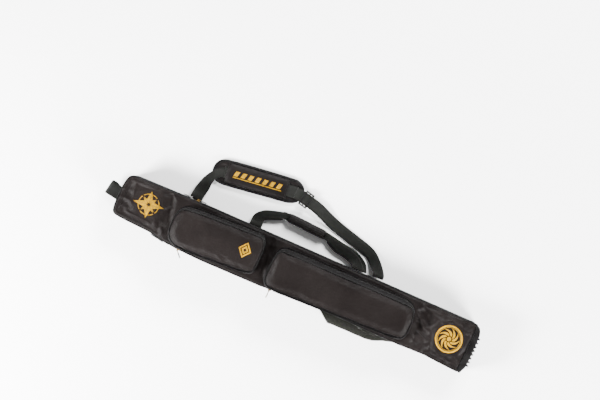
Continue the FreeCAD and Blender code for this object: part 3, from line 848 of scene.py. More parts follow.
# ------------------------------------------------------------------ front cover
FOLDS = [
    # right-hand stretch: loose cloth beyond pocket 2
    ((417, 52), (474, 20), 6, -3.2), ((424, 38), (458, 6), 5, 2.2), ((430, 8), (488, -2), 7, 2.4), ((432, -12), (486, -34), 6, 2.6),
    ((426, -30), (468, -52), 5, -2.0), ((470, 60), (520, 42), 6, 1.8), ((478, 24), (500, -30), 7, -1.4), ((440, 66), (500, 72), 5, 1.6),
    ((505, 70), (580, 66), 5, 1.4), ((508, -58), (588, -62), 5, 1.8), ((500, -40), (512, -66), 4, -1.6), ((598, -50), (606, 40), 5, 1.5),
    ((590, 52), (612, 70), 4, -1.4), ((520, 62), (545, 58), 4, -1.3),
    # left-hand stretch
    ((-470, 60), (-448, -30), 6, -1.8), ((-466, -50), (-452, -76), 5, 1.6), ((-600, -60), (-500, -66), 6, -1.8),
    ((-596, -52), (-500, -56), 5, 1.4), ((-618, 50), (-520, 58), 5, 1.3), ((-616, -40), (-612, 40), 4, -1.5),
    ((-480, 10), (-452, 20), 5, 1.4), ((-500, 50), (-470, 66), 5, -1.4),
    # between the pockets
    ((-118, 60), (-96, -70), 5, -1.6), ((-112, 30), (-100, -20), 4, 1.2),
]


def cover_top(P, d):
    z = 91.5 + 4.6 * rounded(d, 9.0)
    z += 2.6 * (1 - np.exp(-(d / 30.0) ** 2))
    for a, b, w, h in FOLDS:
        z += fold(P, a, b, w, 2.9 * h)
    n1 = np.array([nz(x, y, 0, 0.012, 2.0) * 1.6 + nz(x * 1.4, y * 0.7, 0, 0.045, 5.0) * 0.9 for x, y in P])
    loose = np.clip((P[:, 0] - 416) / 20, 0, 1) + 0.45 * np.clip((-445 - P[:, 0]) / 20, 0, 1) + 0.3 * (np.abs(P[:, 0] + 107) < 14)
    calm = np.minimum(np.clip((np.hypot(P[:, 0] - 549.0, P[:, 1] - 6.0) - 49) / 16, 0, 1),
                      np.clip((np.hypot(P[:, 0] + 533.0, P[:, 1] + 1.0) - 50) / 16, 0, 1))
    n1 = n1 * (0.25 + 0.75 * calm) + 2.5 * calm * loose * np.array([2.6 * (0.5 - abs(nz(x + 0.5 * y, y - 0.4 * x, 0, 0.021, 11.0))) ** 2 * 4 - 1.6 + 1.2 * nz(x, y, 0, 0.06, 19.0)
                            for x, y in P])
    pk = np.minimum(1.0, d / 12.0)
    return np.maximum(z + n1 * pk, 91.2)


front = panel("front_panel_cloth", SKIN, -635.9, 616.2, 330, 60, cover_top, lambda P, d: 90.2 + 0 * d, M_PANEL, "cover",
              rep=["front_panel"], slot="panel_fabric")


def rim_out(s, x, y, z, t):
    a = nz(x, z, 0, 0.02, 14.0) * 1.0
    return -0.7 + 0.9 * math.sin(math.pi * (0.15 + 0.85 * t)) + a * math.sin(math.pi * t)


path_front = [(616.1, 86.65)] + path_rear[1:-1] + [(-634.3, -57.4)]
wall("cover_rim_cloth", path_front, 79.2, 92.2, 6, 3.2, rim_out, M_SHELL, "cover", rep=["cover_rim"], slot="shell_fabric")
tube("zip_guard_front", with_z(off(path_front, -0.4), 79.6), 1.3, M_PIPE, "cover", slot="piping")
path_pipe = [(616.1, 86.65)] + path_rear[1:-1] + path_low[1:-1] + [(616.1, -80.1)]
tube("front_piping_cord", with_z(off(path_pipe, 0.2), 92.9), 2.0, M_PIPE, "cover", rep=["front_piping"], slot="piping")


# ------------------------------------------------------------------ pockets
surf_cover = surface(front)


def shell_grid(name, G, th, mat, body, wrap=False, smooth=True, uv=None, **kw):
    """Closed sheet of thickness th from a grid of points (n, m, 3); the given points are its outer side."""
    G = np.asarray(G, float)
    n, m = G.shape[:2]
    du = np.gradient(G, axis=0) if not wrap else (np.roll(G, -1, 0) - np.roll(G, 1, 0)) / 2
    dv = np.gradient(G, axis=1)
    N = np.cross(du, dv)
    N /= np.maximum(np.linalg.norm(N, axis=2, keepdims=True), 1e-9)
    I = G - N * th
    verts = np.concatenate([G.reshape(-1, 3), I.reshape(-1, 3)])
    k = n * m
    faces = grid_faces(n, m, wrap_n=wrap) + grid_faces(n, m, wrap_n=wrap, base=k, flip=True)
    last = n if wrap else n - 1
    for i in range(last):
        j = (i + 1) % n
        faces.append((i * m, i * m + k, j * m + k, j * m))
        a, b = i * m + m - 1, j * m + m - 1
        faces.append((a, b, b + k, a + k))
    if not wrap:
        for j in range(m - 1):
            faces.append((j, j + 1, j + 1 + k, j + k))
            a = (n - 1) * m + j
            faces.append((a, a + k, a + 1 + k, a + 1))
    if uv is not None:
        u = [tuple(q) for q in np.asarray(uv, float).reshape(-1, 2)]
        uv = u + u
    return fix_normals(make(name, verts, faces, mat, body, uv=uv, smooth=smooth, **kw))


def displace(o, fn):
    """Moves every point of a piece up by fn(points) mm."""
    v = np.zeros(len(o.data.vertices) * 3)
    o.data.vertices.foreach_get("co", v)
    v = v.reshape(-1, 3) / MM
    v[:, 2] += fn(v)
    o.data.vertices.foreach_set("co", (v * MM).reshape(-1))
    o.data.update()
    return o


POCKET_FOLDS = {
    1: [((-262, -60), (-228, -70), 4, 1.3), ((-250, -52), (-222, -56), 4, -1.0), ((-425, 20), (-395, 35), 8, 1.6),
        ((-415, -60), (-400, 30), 12, 1.4), ((-150, 50), (-140, -50), 8, -1.0), ((-330, 30), (-240, 44), 9, 0.9),
        ((-300, -74), (-240, -66), 5, -1.0)],
    2: [((-70, 40), (-52, -60), 9, 1.3), ((380, 40), (400, -40), 9, 1.4), ((60, -60), (160, -56), 7, 0.9),
        ((240, 40), (330, 46), 8, -0.9), ((-30, -70), (60, -66), 6, -0.9), ((330, -50), (380, -20), 9, 1.0),
        ((10, 40), (90, 30), 14, 0.8)],
}


def pocket(num, poly, hinge, lean):
    """Gusset, two-part zip and crowned lid. lean is how far the zipped band draws in on the handle side."""
    body, lid_body = "cover", "lid_%d" % num
    p = chaikin(poly, 2, True)
    a, b = np.array(hinge[0], float), np.array(hinge[1], float)
    L = np.linalg.norm(b - a)
    ab = (b - a) / L
    nin = np.array([-ab[1], ab[0]])

    def hinge_w(q, m0=11.0, m1=9.0):
        """1 along the hinged side, 0 elsewhere."""
        r = np.asarray(q, float)[:2] - a
        if abs(r @ nin) > 5:
            return 0.0
        t = r @ ab
        return float(np.clip((t - m0) / 5, 0, 1) * np.clip((L - m1 - t) / 5, 0, 1))

    def gout(s, x, y, z, t):
        c = math.sin(math.pi * t)
        return -0.6 + 0.5 * c + nz(x, y + z, 0, 0.03, 20.0 + num) * 1.6 * c - 1.2 * t * (1 - hinge_w((x, y)))

    wall("pocket_%d_gusset_cloth" % num, [tuple(q) for q in p], 94.2, lambda q: 117.5 + 15.3 * hinge_w(q), 9, 2.8, gout,
         M_SHELL, body, closed=True, step=4.0, rep=["pocket_%d_gusset" % num], slot="shell_fabric")
    tube("pocket_%d_base_seam" % num, [(q[0], q[1], surf_cover(q[0], q[1], 95.0) + 0.7) for q in resample(off(p, 1.2), 6.0, True)],
         1.8, M_PIPE, body, closed=True, slot="piping")
    q = resample([tuple(v) for v in p], 3.0, True)
    hw = np.array([hinge_w(v) for v in q])
    on = hw > 0.5
    k = int(np.argmax(on & ~np.roll(on, -1)))
    q, hw = np.roll(q, -k - 1, 0), np.roll(hw, -k - 1)
    tgq = tangents(q, True)
    nnq = np.column_stack([tgq[:, 1], -tgq[:, 0]])
    slq = np.clip(nnq[:, 1], 0, 1) ** 2
    for _ in range(3):
        slq = (np.roll(slq, 1) + 2 * slq + np.roll(slq, -1)) / 4
    zipped = hw < 0.5
    u, nn, sl = q[zipped], nnq[zipped], slq[zipped]

    def rail(i, z):
        w = u - nn * (1.0 + sl * 1.4 + i * (0.22 + sl * lean / 10.0))[:, None]
        return np.column_stack([w, z + 0 * sl])

    def strip(name, A, B, mat, bd, th=1.1, rep=(), rib=0.0, cols=5, pitch=7.0):
        s = np.concatenate([[0], np.cumsum(np.linalg.norm(np.diff(A, axis=0), axis=1))])
        if rib:                                        # finer along its length so that the ribs are real relief
            s2 = np.linspace(0, s[-1], int(s[-1] / 1.4))
            A = np.column_stack([np.interp(s2, s, A[:, c]) for c in range(3)])
            B = np.column_stack([np.interp(s2, s, B[:, c]) for c in range(3)])
            s = s2
        t = np.linspace(0, 1, cols)
        G = A[:, None, :] * (1 - t)[None, :, None] + B[:, None, :] * t[None, :, None]
        N = np.cross(np.gradient(G, axis=0), np.gradient(G, axis=1))
        N /= np.linalg.norm(N, axis=2, keepdims=True)
        cen = np.array([u[:, 0].mean(), u[:, 1].mean(), 0.0])
        if np.mean(np.sum(N * (G - cen) * [1, 1, 0], axis=2)) < 0:
            N = -N
            G = G[:, ::-1]
            N = N[:, ::-1]
        if rib:
            r = np.clip(np.sin(2 * np.pi * (s[:, None] + t[None, :] * 8.0) / pitch) + 0.35, 0, 2) * rib
            edge = np.minimum(1, 4 * np.minimum(t, 1 - t))[None, :]
            G = G + N * (r * edge)[:, :, None]
        return shell_grid(name, G, th, mat, bd, rep=rep, slot="zip_tape")

    strip("pocket_%d_zip_tape_lower_cloth" % num, rail(-0.3, 116.8), rail(1.6, 120.3), M_TAPE, body,
          rep=["pocket_%d_zip_tape_lower" % num])

    def outw(v):
        j = int(np.argmin(np.sum((u - v[:2]) ** 2, axis=1)))
        return (nn[j][0], nn[j][1], 0.35)

    teeth("pocket_%d_zip_coil_lower" % num, rail(1.2, 120.9), outw, M_COIL, body, 2.6, 1.5, 1.5, 2.2, side=1)
    teeth("pocket_%d_zip_coil_upper" % num, rail(1.4, 121.5), outw, M_COIL, lid_body, 2.6, 1.5, 1.5, 2.2, side=-1)
    strip("pocket_%d_zip_band" % num, rail(1.9, 122.2), rail(10.0, 131.2 + 1.6 * sl), M_TAPE, lid_body, th=1.5,
          rep=["pocket_%d_zip_tape_upper" % num], rib=0.85, cols=11)

    # lid: a padded slab over the drawn-in outline
    ins = np.where(zipped, 1.0 + slq * 1.4 + 10.0 * (0.22 + slq * lean / 10.0), 1.5)
    for _ in range(2):
        ins = (np.roll(ins, 1) + 2 * ins + np.roll(ins, -1)) / 4
    pl = q - nnq * ins[:, None]
    pl_t = [tuple(v) for v in pl]
    pg = [tuple(v) for v in pl + nnq * 0.9]              # the slab draws in when its edge is rounded
    x0, x1 = min(v[0] for v in pg) + 0.4, max(v[0] for v in pg) - 0.4
    hs = lambda P: (P - a) @ nin

    def top(P, d):
        return 133.4 + 3.4 * rounded(d, 7.0)

    def bot(P, d):
        return np.where(hs(P) < 10, 132.4, 130.6)

    lid = panel("pocket_%d_lid_cloth" % num, pg, x0, x1, 130 if num == 1 else 190, 54, top, bot, M_PANEL, lid_body,
                rep=["pocket_%d_lid" % num], slot="panel_fabric")

    def keep(P):
        d = dist_outline(P[:, :2], pl_t)
        return np.clip((d - 3) / 16, 0, 1) * np.clip((P[:, 2] - 131.5) / 2.0, 0.15, 1)

    fix_normals(lid)
    puff(lid, voxel=4.4, pressure=4.0, cap=3.4, keep=keep)

    def wr(V):
        P = V[:, :2]
        d = dist_outline(P, pl_t)
        h = np.array([nz(x, y, 0, 0.013, 31.0 + num) * 1.5 + nz(x, y * 0.8, 0, 0.05, 7.0 + num) * 0.55 for x, y in P])
        for f in POCKET_FOLDS[num]:
            h += fold(P, *f)
        return h * np.minimum(1.0, d / 14.0) * (V[:, 2] > 132.8)

    displace(lid, wr)
    tube("pocket_%d_lid_piping_cord" % num, [(v[0], v[1], 134.4) for v in off(pl, 0.9)], 1.9, M_PIPE, lid_body, closed=True,
         rep=["pocket_%d_piping" % num], slot="piping")
    lip = []
    for v, n_, hw_ in zip(pl, nnq, hw):
        lip.append([(v[0] - n_[0] * i_, v[1] - n_[1] * i_, 133.3 - drop * (1 - hw_)) for i_, drop in
                    ((-0.8, 0.0), (1.6, 0.5), (4.5, 2.6), (8.0, 3.5), (10.5, 3.6))])
    shell_grid("pocket_%d_lid_seam_allowance" % num, lip, 1.2, M_TAPE, lid_body, wrap=True, slot="zip_tape")
    # the cloth hinge: follows the wall below and the lid above
    G = []
    for t in np.linspace(11.5, L - 9.5, int(L / 4)):
        w = a + ab * t
        G.append([(w[0] - nin[0] * o_, w[1] - nin[1] * o_, z_) for o_, z_ in
                  ((1.2, 126.0), (1.15, 128.0), (1.1, 130.0), (1.2, 131.6), (1.5, 133.0), (1.9, 134.2), (2.1, 135.4))])
    hc = shell_grid("pocket_%d_hinge_cloth" % num, G, 1.1, M_PIPE, None, slot="piping")
    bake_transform(hc)
    f = surface(lid)
    inner = off(pl, -4.2)
    stitches("pocket_%d_lid_stitching" % num, [tuple(v) for v in inner], f, M_STITCH, lid_body, closed=True)
    return lid, f, pl


lid1, surf1, pl1 = pocket(1, P1, ((-384, -91), (-145, -73)), 8.5)
lid2, surf2, pl2 = pocket(2, P2, ((-56, -88), (390, -65)), 12.0)

# ------------------------------------------------------------------ embroidered marks (all generic)
def kite(c, ang, r, w, r_in, half):
    """Half of one compass point: from the centre side to the tip."""
    ca, sa = math.cos(ang), math.sin(ang)
    f = lambda t, n: (c[0] + t * ca - n * sa, c[1] + t * sa + n * ca)
    s = 1 if half else -1
    return [f(r_in * 0.35, 0.35 * s), f(r, 0.35 * s), f(r_in, w * s)]


def arc_band(c, r0, r1, a0, a1, n=10):
    o = [(c[0] + r1 * math.cos(t), c[1] + r1 * math.sin(t)) for t in np.linspace(a0, a1, n)]
    i = [(c[0] + r0 * math.cos(t), c[1] + r0 * math.sin(t)) for t in np.linspace(a1, a0, n)]
    return o + i


EC = (-533.0, -1.0)
light_p, dark_p = [], []
for i in range(4):
    ang = math.radians(9 + 90 * i)
    light_p.append(kite(EC, ang, 52 if i % 2 == 0 else 45, 10.5, 14, True))
    dark_p.append(kite(EC, ang, 52 if i % 2 == 0 else 45, 10.5, 14, False))
    ang += math.pi / 4
    light_p.append(kite(EC, ang, 31, 6.8, 12.5, True))
    dark_p.append(kite(EC, ang, 31, 6.8, 12.5, False))
for i in range(8):
    m = math.radians(9 + 45 * i)
    light_p.append(arc_band(EC, 33.2, 35.6, m + math.radians(5), m + math.radians(40), 9))
emb = relief("emblem_left_light", light_p, surf_cover, 1.15, M_GOLD, "cover", inset=0.5, rep=["emblem_left"], slot="gold_thread")
relief("emblem_left_dark", dark_p, surf_cover, 0.95, M_GOLD2, "cover", inset=0.5, slot="gold_thread")

RC = (549.0, 6.0)
RV, RS = [], 120
for r0, r1, h in ((40.8, 46.0, 1.15), (37.2, 38.6, 0.8)):
    for i in range(RS):
        t = 2 * math.pi * i / RS
        for r, dz in ((r0, -0.8), (r0, 0.45 * h), (r0 + 0.6, h), (r1 - 0.6, h), (r1, 0.45 * h), (r1, -0.8)):
            x, y = RC[0] + r * math.cos(t), RC[1] + r * math.sin(t)
            RV.append((x, y, surf_cover(x, y) + dz))
RF = grid_faces(RS, 6, wrap_n=True, wrap_m=True) + grid_faces(RS, 6, wrap_n=True, wrap_m=True, base=RS * 6)
fix_normals(make("emblem_roundel_rings", RV, RF, M_GOLD, "cover", rep=["emblem_roundel"], slot="gold_thread"))
petals = []
for k in range(9):
    a0_ = 2 * math.pi * k / 9
    mid = [(r, a0_ + 0.95 * ((r - 11) / 24.0) ** 1.3) for r in np.linspace(11.0, 35.0, 9)]
    wd = [5.6 * math.sin(math.pi * (0.10 + 0.86 * i / 8)) ** 0.8 for i in range(9)]
    l_ = [(RC[0] + r * math.cos(t + w / r / 1.15), RC[1] + r * math.sin(t + w / r / 1.15)) for (r, t), w in zip(mid, wd)]
    r_ = [(RC[0] + r * math.cos(t - w / r / 1.15), RC[1] + r * math.sin(t - w / r / 1.15)) for (r, t), w in zip(mid, wd)]
    petals.append(r_ + l_[::-1])
hub = [(RC[0] + 7.4 * math.cos(t), RC[1] + 7.4 * math.sin(t)) for t in np.linspace(0, 2 * math.pi, 20)[:-1]]
relief("emblem_roundel_petals", petals + [hub], surf_cover, 0.95, M_GOLD, "cover", inset=0.5, slot="gold_thread")

dm = lambda r: [(-182 - 22.0 * r, -4 + 0 * r), (-182, -4 - 27.0 * r), (-182 + 22.0 * r, -4), (-182, -4 + 27.0 * r)]


def between(o, i):
    out = []
    for k in range(4):
        a_, b_ = np.array(o[k]), np.array(o[(k + 1) % 4])
        c_, d_ = np.array(i[k]), np.array(i[(k + 1) % 4])
        e = (b_ - a_) * 0.006
        out.append([tuple(a_ + e), tuple(b_ - e), tuple(d_ - e), tuple(c_ + e)])
    return out


relief("pocket_1_mark_frame", between(dm(1.0), dm(0.76)), surf1, 1.0, M_GOLD, "lid_1", inset=0.4, rep=["pocket_1_mark"],
       slot="gold_thread")
relief("pocket_1_mark_core", between(dm(0.56), dm(0.24)), surf1, 0.9, M_GOLD2, "lid_1", inset=0.4, slot="gold_thread")

def inner_path(path, d):
    """Outline path moved inwards by d, without the loops that tight corners make."""
    q = off(path, -d)
    keep_ = [v for v in q if dist_outline(np.array([v]), SKIN)[0] > d - 0.4 and v[0] < 613]
    return [tuple(v) for v in keep_]


stitches("front_panel_stitching", inner_path(path_pipe, 6.5), surf_cover, M_STITCH, "cover")
seam = [(-617 + 0.8 * math.sin(i * 0.7), -62 + i * 4.2) for i in range(29)]
stitches("front_panel_end_seam", seam, surf_cover, M_STITCH, "cover")

# ------------------------------------------------------------------ moulded base boot
BOOT = [(617.2, -80.2), (627, -82.5), (632, -72), (640, -53), (640, 50), (636, 68), (629, 80), (617.2, 86.6)]
bp = [BOOT[0]] + [tuple(v) for v in chaikin(BOOT[1:-1], 2)] + [BOOT[-1]]


def boot_out(s, x, y, z, t):
    e = min(z - 0.8, 94.4 - z)
    return -4.2 * (1 - rounded(np.array([max(0.0, e)]), 6.0)[0])


wall("base_boot_side", bp, 0.8, 94.4, 33, 4.6, boot_out, M_RUBBER, "shell", step=2.5, rep=["base_boot"], slot="boot_rubber")
bpoly = [tuple(v) for v in bp]


def slab_over(name, poly, z0, z1, r, top_side, mat, body, x0, x1, **kw):
    if top_side:
        t_ = lambda P, d: z1 - r * (1 - rounded(d, r * 1.3))
        b_ = lambda P, d: z0 + 0 * d
    else:
        t_ = lambda P, d: z1 + 0 * d
        b_ = lambda P, d: z0 + r * (1 - rounded(d, r * 1.3))
    return fix_normals(panel(name, poly, x0, x1, 26, 60, t_, b_, mat, body, cut0=False, **kw))


inner_b = [(617.2, -76.0), (626, -78.2), (636.4, -52), (636.4, 49), (632.6, 66), (626.4, 77), (617.2, 82.4)]
slab_over("base_boot_top", inner_b, 91.0, 95.0, 2.0, True, M_RUBBER, "shell", 617.4, 636.3, slot="boot_rubber")
slab_over("base_boot_under", inner_b, 0.2, 4.2, 2.0, False, M_RUBBER, "shell", 617.4, 636.3, slot="boot_rubber")
solidify_boxes("base_boot_ribs", [(636.2, 644.6, y - 3.3, y + 3.3, 2.4, 92.6) for y in (45, 31, 17, 3.5, -10, -23.5, -37, -50)],
               (0, 0), 0, M_RUBBER, "shell", 2.4, 3, slot="boot_rubber")
loop_pts = []
for (y0, z0, a0) in ((81.0, 88.5, 0), (-75.0, 88.5, 90), (-75.0, 7.0, 180), (81.0, 7.0, 270)):
    for i in range(6):
        t = math.radians(a0 + 18 * i)
        loop_pts.append((617.6, y0 + 5.6 * math.cos(t), z0 + 6.2 * math.sin(t)))
tube("base_boot_seam", loop_pts, 1.5, M_PIPE, "shell", closed=True, step=4.0, ref=(1, 0, 0), slot="piping")
trim = [(v[0], v[1]) for v in resample([(617.4, -80.3), (626.6, -82.4)], 2.0)]

# ------------------------------------------------------------------ bottle pocket of net
def depth(x):
    pts = ((105, 35.5), (165, 35.5), (300, 32.5), (325, 28.5), (355, 15.5), (398, 0.8))
    return float(np.interp(x, [q[0] for q in pts], [q[1] for q in pts]))


def net_pt(x, ph, grow=0.0):
    c, s = math.cos(ph), math.sin(ph)
    d = depth(x)
    zz = 37.0 + (34.0 - 12.0 * max(0.0, (x - 320) / 80.0) ** 2 * 0) * s
    e = 0.9 * nz(x, ph * 40, 0, 0.04, 77.0)
    cc = abs(c) ** 0.75
    return (x, -78.3 - (d + grow + e * 0.6) * cc, zz + (grow + e * 0.4) * s)


def net_start(ph):
    return 115 + 50 * abs(math.cos(ph)) ** 0.75


nu, nv = 150, 58
NV = []
for i in range(nu):
    row = []
    for j in range(nv):
        ph = -math.pi / 2 + math.pi * j / (nv - 1)
        x0 = net_start(ph) + 4.0
        x = x0 + (397.0 - x0) * i / (nu - 1)
        row.append(net_pt(x, ph))
    NV.append(row)
verts = [v for r in NV for v in r]
cells = []
for i in range(0, nu):
    for j in range(0, nv):
        if (i + j) % 2:
            continue
        q = [(i, j - 1), (i + 1, j), (i, j + 1), (i - 1, j)]
        q = [(a_, b_) for a_, b_ in q if 0 <= a_ < nu and 0 <= b_ < nv]
        if len(q) == 4:
            cells.append(tuple(a_ * nv + b_ for a_, b_ in q))
        elif len(q) == 3:
            cells.append(tuple(a_ * nv + b_ for a_, b_ in q))
used = sorted({k_ for c_ in cells for k_ in c_})
idx = {k_: i for i, k_ in enumerate(used)}
net = make("bottle_pocket_net", [verts[k_] for k_ in used], [tuple(idx[k_] for k_ in c_) for c_ in cells], M_NET, "shell",
           rep=["bottle_pocket_mesh"], slot="net")
fix_normals(net)
bpy.ops.object.select_all(action="DESELECT")
net.select_set(True)
bpy.context.view_layer.objects.active = net
m = net.modifiers.new("wire", "WIREFRAME")
m.thickness = 2.3 * MM
m.use_even_offset = False
m.use_boundary = True
bpy.ops.object.modifier_apply(modifier="wire")
net.data.polygons.foreach_set("use_smooth", [True] * len(net.data.polygons))
G = []
for j in range(33):
    ph = -math.pi / 2 + math.pi * j / 32
    x0 = net_start(ph)
    G.append([net_pt(x0 + k_ * 2.1 * (0.5 + 0.5 * abs(math.cos(ph))), ph, 0.7) for k_ in range(6)])
shell_grid("bottle_pocket_rim_band", G, 1.7, M_WEB, "shell", rep=["bottle_pocket_rim"], slot="webbing",
           uv=[[(j * 3.4, k_ * 2.1) for k_ in range(6)] for j in range(33)])
tube("bottle_pocket_top_seam", [(118 + i * 5.6, -78.6, 71.6) for i in range(51)], 1.5, M_PIPE, "shell", slot="piping")
tube("bottle_pocket_under_seam", [(118 + i * 5.6, -78.6, 2.6) for i in range(51)], 1.5, M_PIPE, "shell", slot="piping")

# ------------------------------------------------------------------ side strap and buckle
SO, SANG = (-490.0, -81.0), math.degrees(math.atan2(-9, 50))
sb = lambda bx: [(t0, t1, -n1, -n0, z0, z1) for (t0, t1, n0, n1, z0, z1) in bx]
solidify_boxes("side_buckle_socket", sb([(1, 27, 0.2, 2.6, 34.2, 57.8), (1, 27, 7.0, 9.2, 34.2, 57.8), (1, 5.2, 0.4, 9, 34.4, 57.6),
                                         (1.5, 26.5, 0.5, 8.9, 34, 37.4), (1.5, 26.5, 0.5, 8.9, 54.6, 58)]),
               SO, SANG, M_BUCKLE, "shell", 0.9, 3, rep=["side_buckle_female"], slot="buckle_plastic")
solidify_boxes("side_buckle_plug", sb([(27.6, 39.4, 1.0, 8.8, 34.2, 57.8), (43.8, 49, 1.0, 8.8, 34.2, 57.8), (38, 45, 1.2, 8.6, 34, 37.2),
                                       (38, 45, 1.2, 8.6, 54.8, 58), (8.2, 28.2, 3.2, 6.4, 38.8, 42.4), (8.2, 28.2, 3.2, 6.4, 49.6, 53.2)]),
               SO, SANG, M_BUCKLE, "buckle", 0.8, 3, rep=["side_buckle_male"], slot="buckle_plastic")


def flat_web(name, org, ang, t0, t1, n, z0, z1, th, body, rep=(), out=(0, -1)):
    """A band standing on its edge: along ang, between z0 and z1, its middle n out from the line."""
    ca, sa = math.cos(math.radians(ang)), math.sin(math.radians(ang))
    st = []
    zc, hw = (z0 + z1) / 2, (z1 - z0) / 2
    for t in np.linspace(t0, t1, 5):
        st.append((org[0] + t * ca + n * sa, org[1] + t * sa - n * ca, zc, 0, 0, hw))
    return web(name, st, M_WEB, body, th=th, step=4.0, cols=7, wav=0.15, rep=rep)


flat_web("side_strap_end", SO, SANG, 44.5, 68, 4.3, 36.4, 55.6, 2.2, "buckle", rep=["side_strap_tail"])
flat_web("side_buckle_web", SO, SANG, -25, 3.0, 1.35, 36.4, 55.6, 2.2, "shell", rep=["side_buckle_tab"])

# ------------------------------------------------------------------ inside: foam boards in lining, tie straps
IN8 = [(612, 78.6), (604, 78.4), (-405, 65.4), (-606, 58.3), (-617, 55), (-624.5, 44), (-628, 20), (-628, -44), (-625, -60),
       (-617, -67), (-580, -70), (-490, -73), (-440, -82), (-385, -87), (-300, -88.4), (-100, -84), (0, -77), (84, -70.8),
       (92, -38.5), (408, -38.5), (416, -70.4), (440, -68.5), (495, -66), (540, -69), (612, -71.8)]
foam = lambda z0, z1: (lambda P, d: z1 - (1.8 + 0.0 * d) * (1 - rounded(d, 3.0)) - 0.9 * np.exp(-((np.abs(((P[:, 1] + 200) % 34) - 17)) / 1.6) ** 2) * (d > 6),
                       lambda P, d: z0 + 0 * d)
ft, fb_ = foam(4.1, 8.4)
fix_normals(panel("back_lining", [(612, 78.6)] + IN8[1:], -627.9, 611.5, 150, 60, ft, fb_, M_LINING, "shell",
                  rep=["back_foam_board"], slot="foam"))
FR = [(606, 77.5), (-405, 64.4), (-606, 57.3), (-616, 54), (-623.5, 44), (-627, 20), (-627, -44), (-624, -59),
      (-616, -66), (-580, -69), (-490, -72), (-440, -81), (-385, -86), (-300, -87.4), (-100, -83), (0, -76), (84, -69.8),
      (99, -69.0), (401, -69.0), (416, -69.4), (440, -67.5), (495, -65),
      (540, -68), (606, -70.6)]
fix_normals(panel("front_lining", FR, -626.9, 605.5, 180, 60, lambda P, d: 90.0 + 0 * d,
                  lambda P, d: 86.2 + 1.6 * (1 - rounded(d, 3.0)) + 0.9 * np.exp(-((np.abs(((P[:, 1] + 200) % 34) - 17)) / 1.6) ** 2) * (d > 6),
                  M_LINING, "cover", rep=["front_foam_board"], slot="foam"))
for k, (xc, y0, y1) in enumerate(((-349.5, -61, 59), (250.5, -37, 65))):
    web("rod_tie_strap_%d" % (k + 1), [(xc + 0.6 * math.sin(i), y0 + (y1 - y0) * i / 6, 10.0 + (1.2 if 0 < i < 6 else 0), 12.2, 0, 0)
                                       for i in range(7)], M_WEB, "shell", th=1.9, step=5.0, cols=7, wav=0.5,
        rep=["rod_tie_straps"] if k == 0 else ())

# ------------------------------------------------------------------ webbing anchors on the handle side
ANG_B = math.degrees(math.atan2(13.0, 1009.0))


def patch(name, x, t0, t1, z0, z1, rep=()):
    c, s = math.cos(math.radians(ANG_B)), math.sin(math.radians(ANG_B))
    G_, U_ = [], []
    for i in range(17):
        r, ur = [], []
        for j in range(15):
            t, z = t0 + (t1 - t0) * i / 16, z0 + (z1 - z0) * j / 14
            e = min(t - t0, t1 - t, z - z0, z1 - z)
            n = 2.3 - 1.3 * math.exp(-e / 1.2) + 0.2 * nz(t, z, 0, 0.1, x)
            r.append((x + t * c - n * s, edge_y(x) + t * s + n * c, z))
            ur.append((z, t))
        G_.append(r[::-1])
        U_.append(ur[::-1])
    o = shell_grid(name, G_, 2.4, M_WEB, "shell", rep=rep, slot="webbing", uv=U_)
    # box stitching with a cross
    V_, F_ = [], []
    a0, a1, b0, b1 = t0 + 3, t1 - 3, z0 + 3, z1 - 3

    def row(p, q):
        d = np.array(q, float) - np.array(p, float)
        L_ = np.linalg.norm(d)
        d /= L_
        m_ = np.array([-d[1], d[0]])
        for k_ in range(int(L_ / 3.4)):
            cpt = np.array(p) + d * (1.7 + 3.4 * k_)
            b_ = len(V_)
            for (al, h) in ((-1.2, 0.0), (0.0, 0.5), (1.2, 0.0)):
                for (sd, dh) in ((-0.45, 0.0), (0.0, 0.25), (0.45, 0.0), (0.0, -0.5)):
                    q2 = cpt + d * al + m_ * sd
                    n = 2.35 + h + dh
                    V_.append((x + q2[0] * c - n * s, edge_y(x) + q2[0] * s + n * c, q2[1]))
            for k2 in range(2):
                for j2 in range(4):
                    F_.append((b_ + 4 * k2 + j2, b_ + 4 * k2 + (j2 + 1) % 4, b_ + 4 * k2 + 4 + (j2 + 1) % 4, b_ + 4 * k2 + 4 + j2))
            F_.append((b_, b_ + 1, b_ + 2, b_ + 3))
            F_.append((b_ + 11, b_ + 10, b_ + 9, b_ + 8))

    for p_, q_ in (((a0, b0), (a1, b0)), ((a1, b0), (a1, b1)), ((a1, b1), (a0, b1)), ((a0, b1), (a0, b0)),
                   ((a0, b0), (a1, b1)), ((a0, b1), (a1, b0))):
        row(p_, q_)
    fix_normals(make(name + "_stitches", V_, F_, M_STITCH, "shell"))
    return o


patch("strap_anchor_left", -403.0, -21.4, 22, 14, 52, rep=["strap_anchor_tabs"])
patch("strap_anchor_right", 256.0, -19, 19, 14, 52)
patch("handle_anchor_left", -186.5, -21.5, 21.5, 12, 52, rep=["handle_anchor_tabs"])
patch("handle_anchor_right", 182.0, -21, 34, 12, 52)


# ------------------------------------------------------------------ zip sliders and their pulls
def join_meshes(name, objs, mat, body, rep=(), slot=None):
    """Puts several closed meshes of one piece together."""
    verts, faces = [], []
    for o in objs:
        b = len(verts)
        verts += [tuple(v.co / MM) for v in o.data.vertices]
        faces += [tuple(b + i for i in p.vertices) for p in o.data.polygons]
        me = o.data
        bpy.data.objects.remove(o)
        bpy.data.meshes.remove(me)
    return fix_normals(make(name, verts, faces, mat, body, smooth=False, rep=rep, slot=slot))


def lathe(name, c, prof, mat, sides=20):
    """Turned ring about Z: prof is a closed list of (r, z)."""
    V_, m_ = [], len(prof)
    for i in range(sides):
        t = 2 * math.pi * i / sides
        V_ += [(c[0] + r * math.cos(t), c[1] + r * math.sin(t), z) for r, z in prof]
    return fix_normals(make(name, V_, grid_faces(sides, m_, wrap_n=True, wrap_m=True), mat))


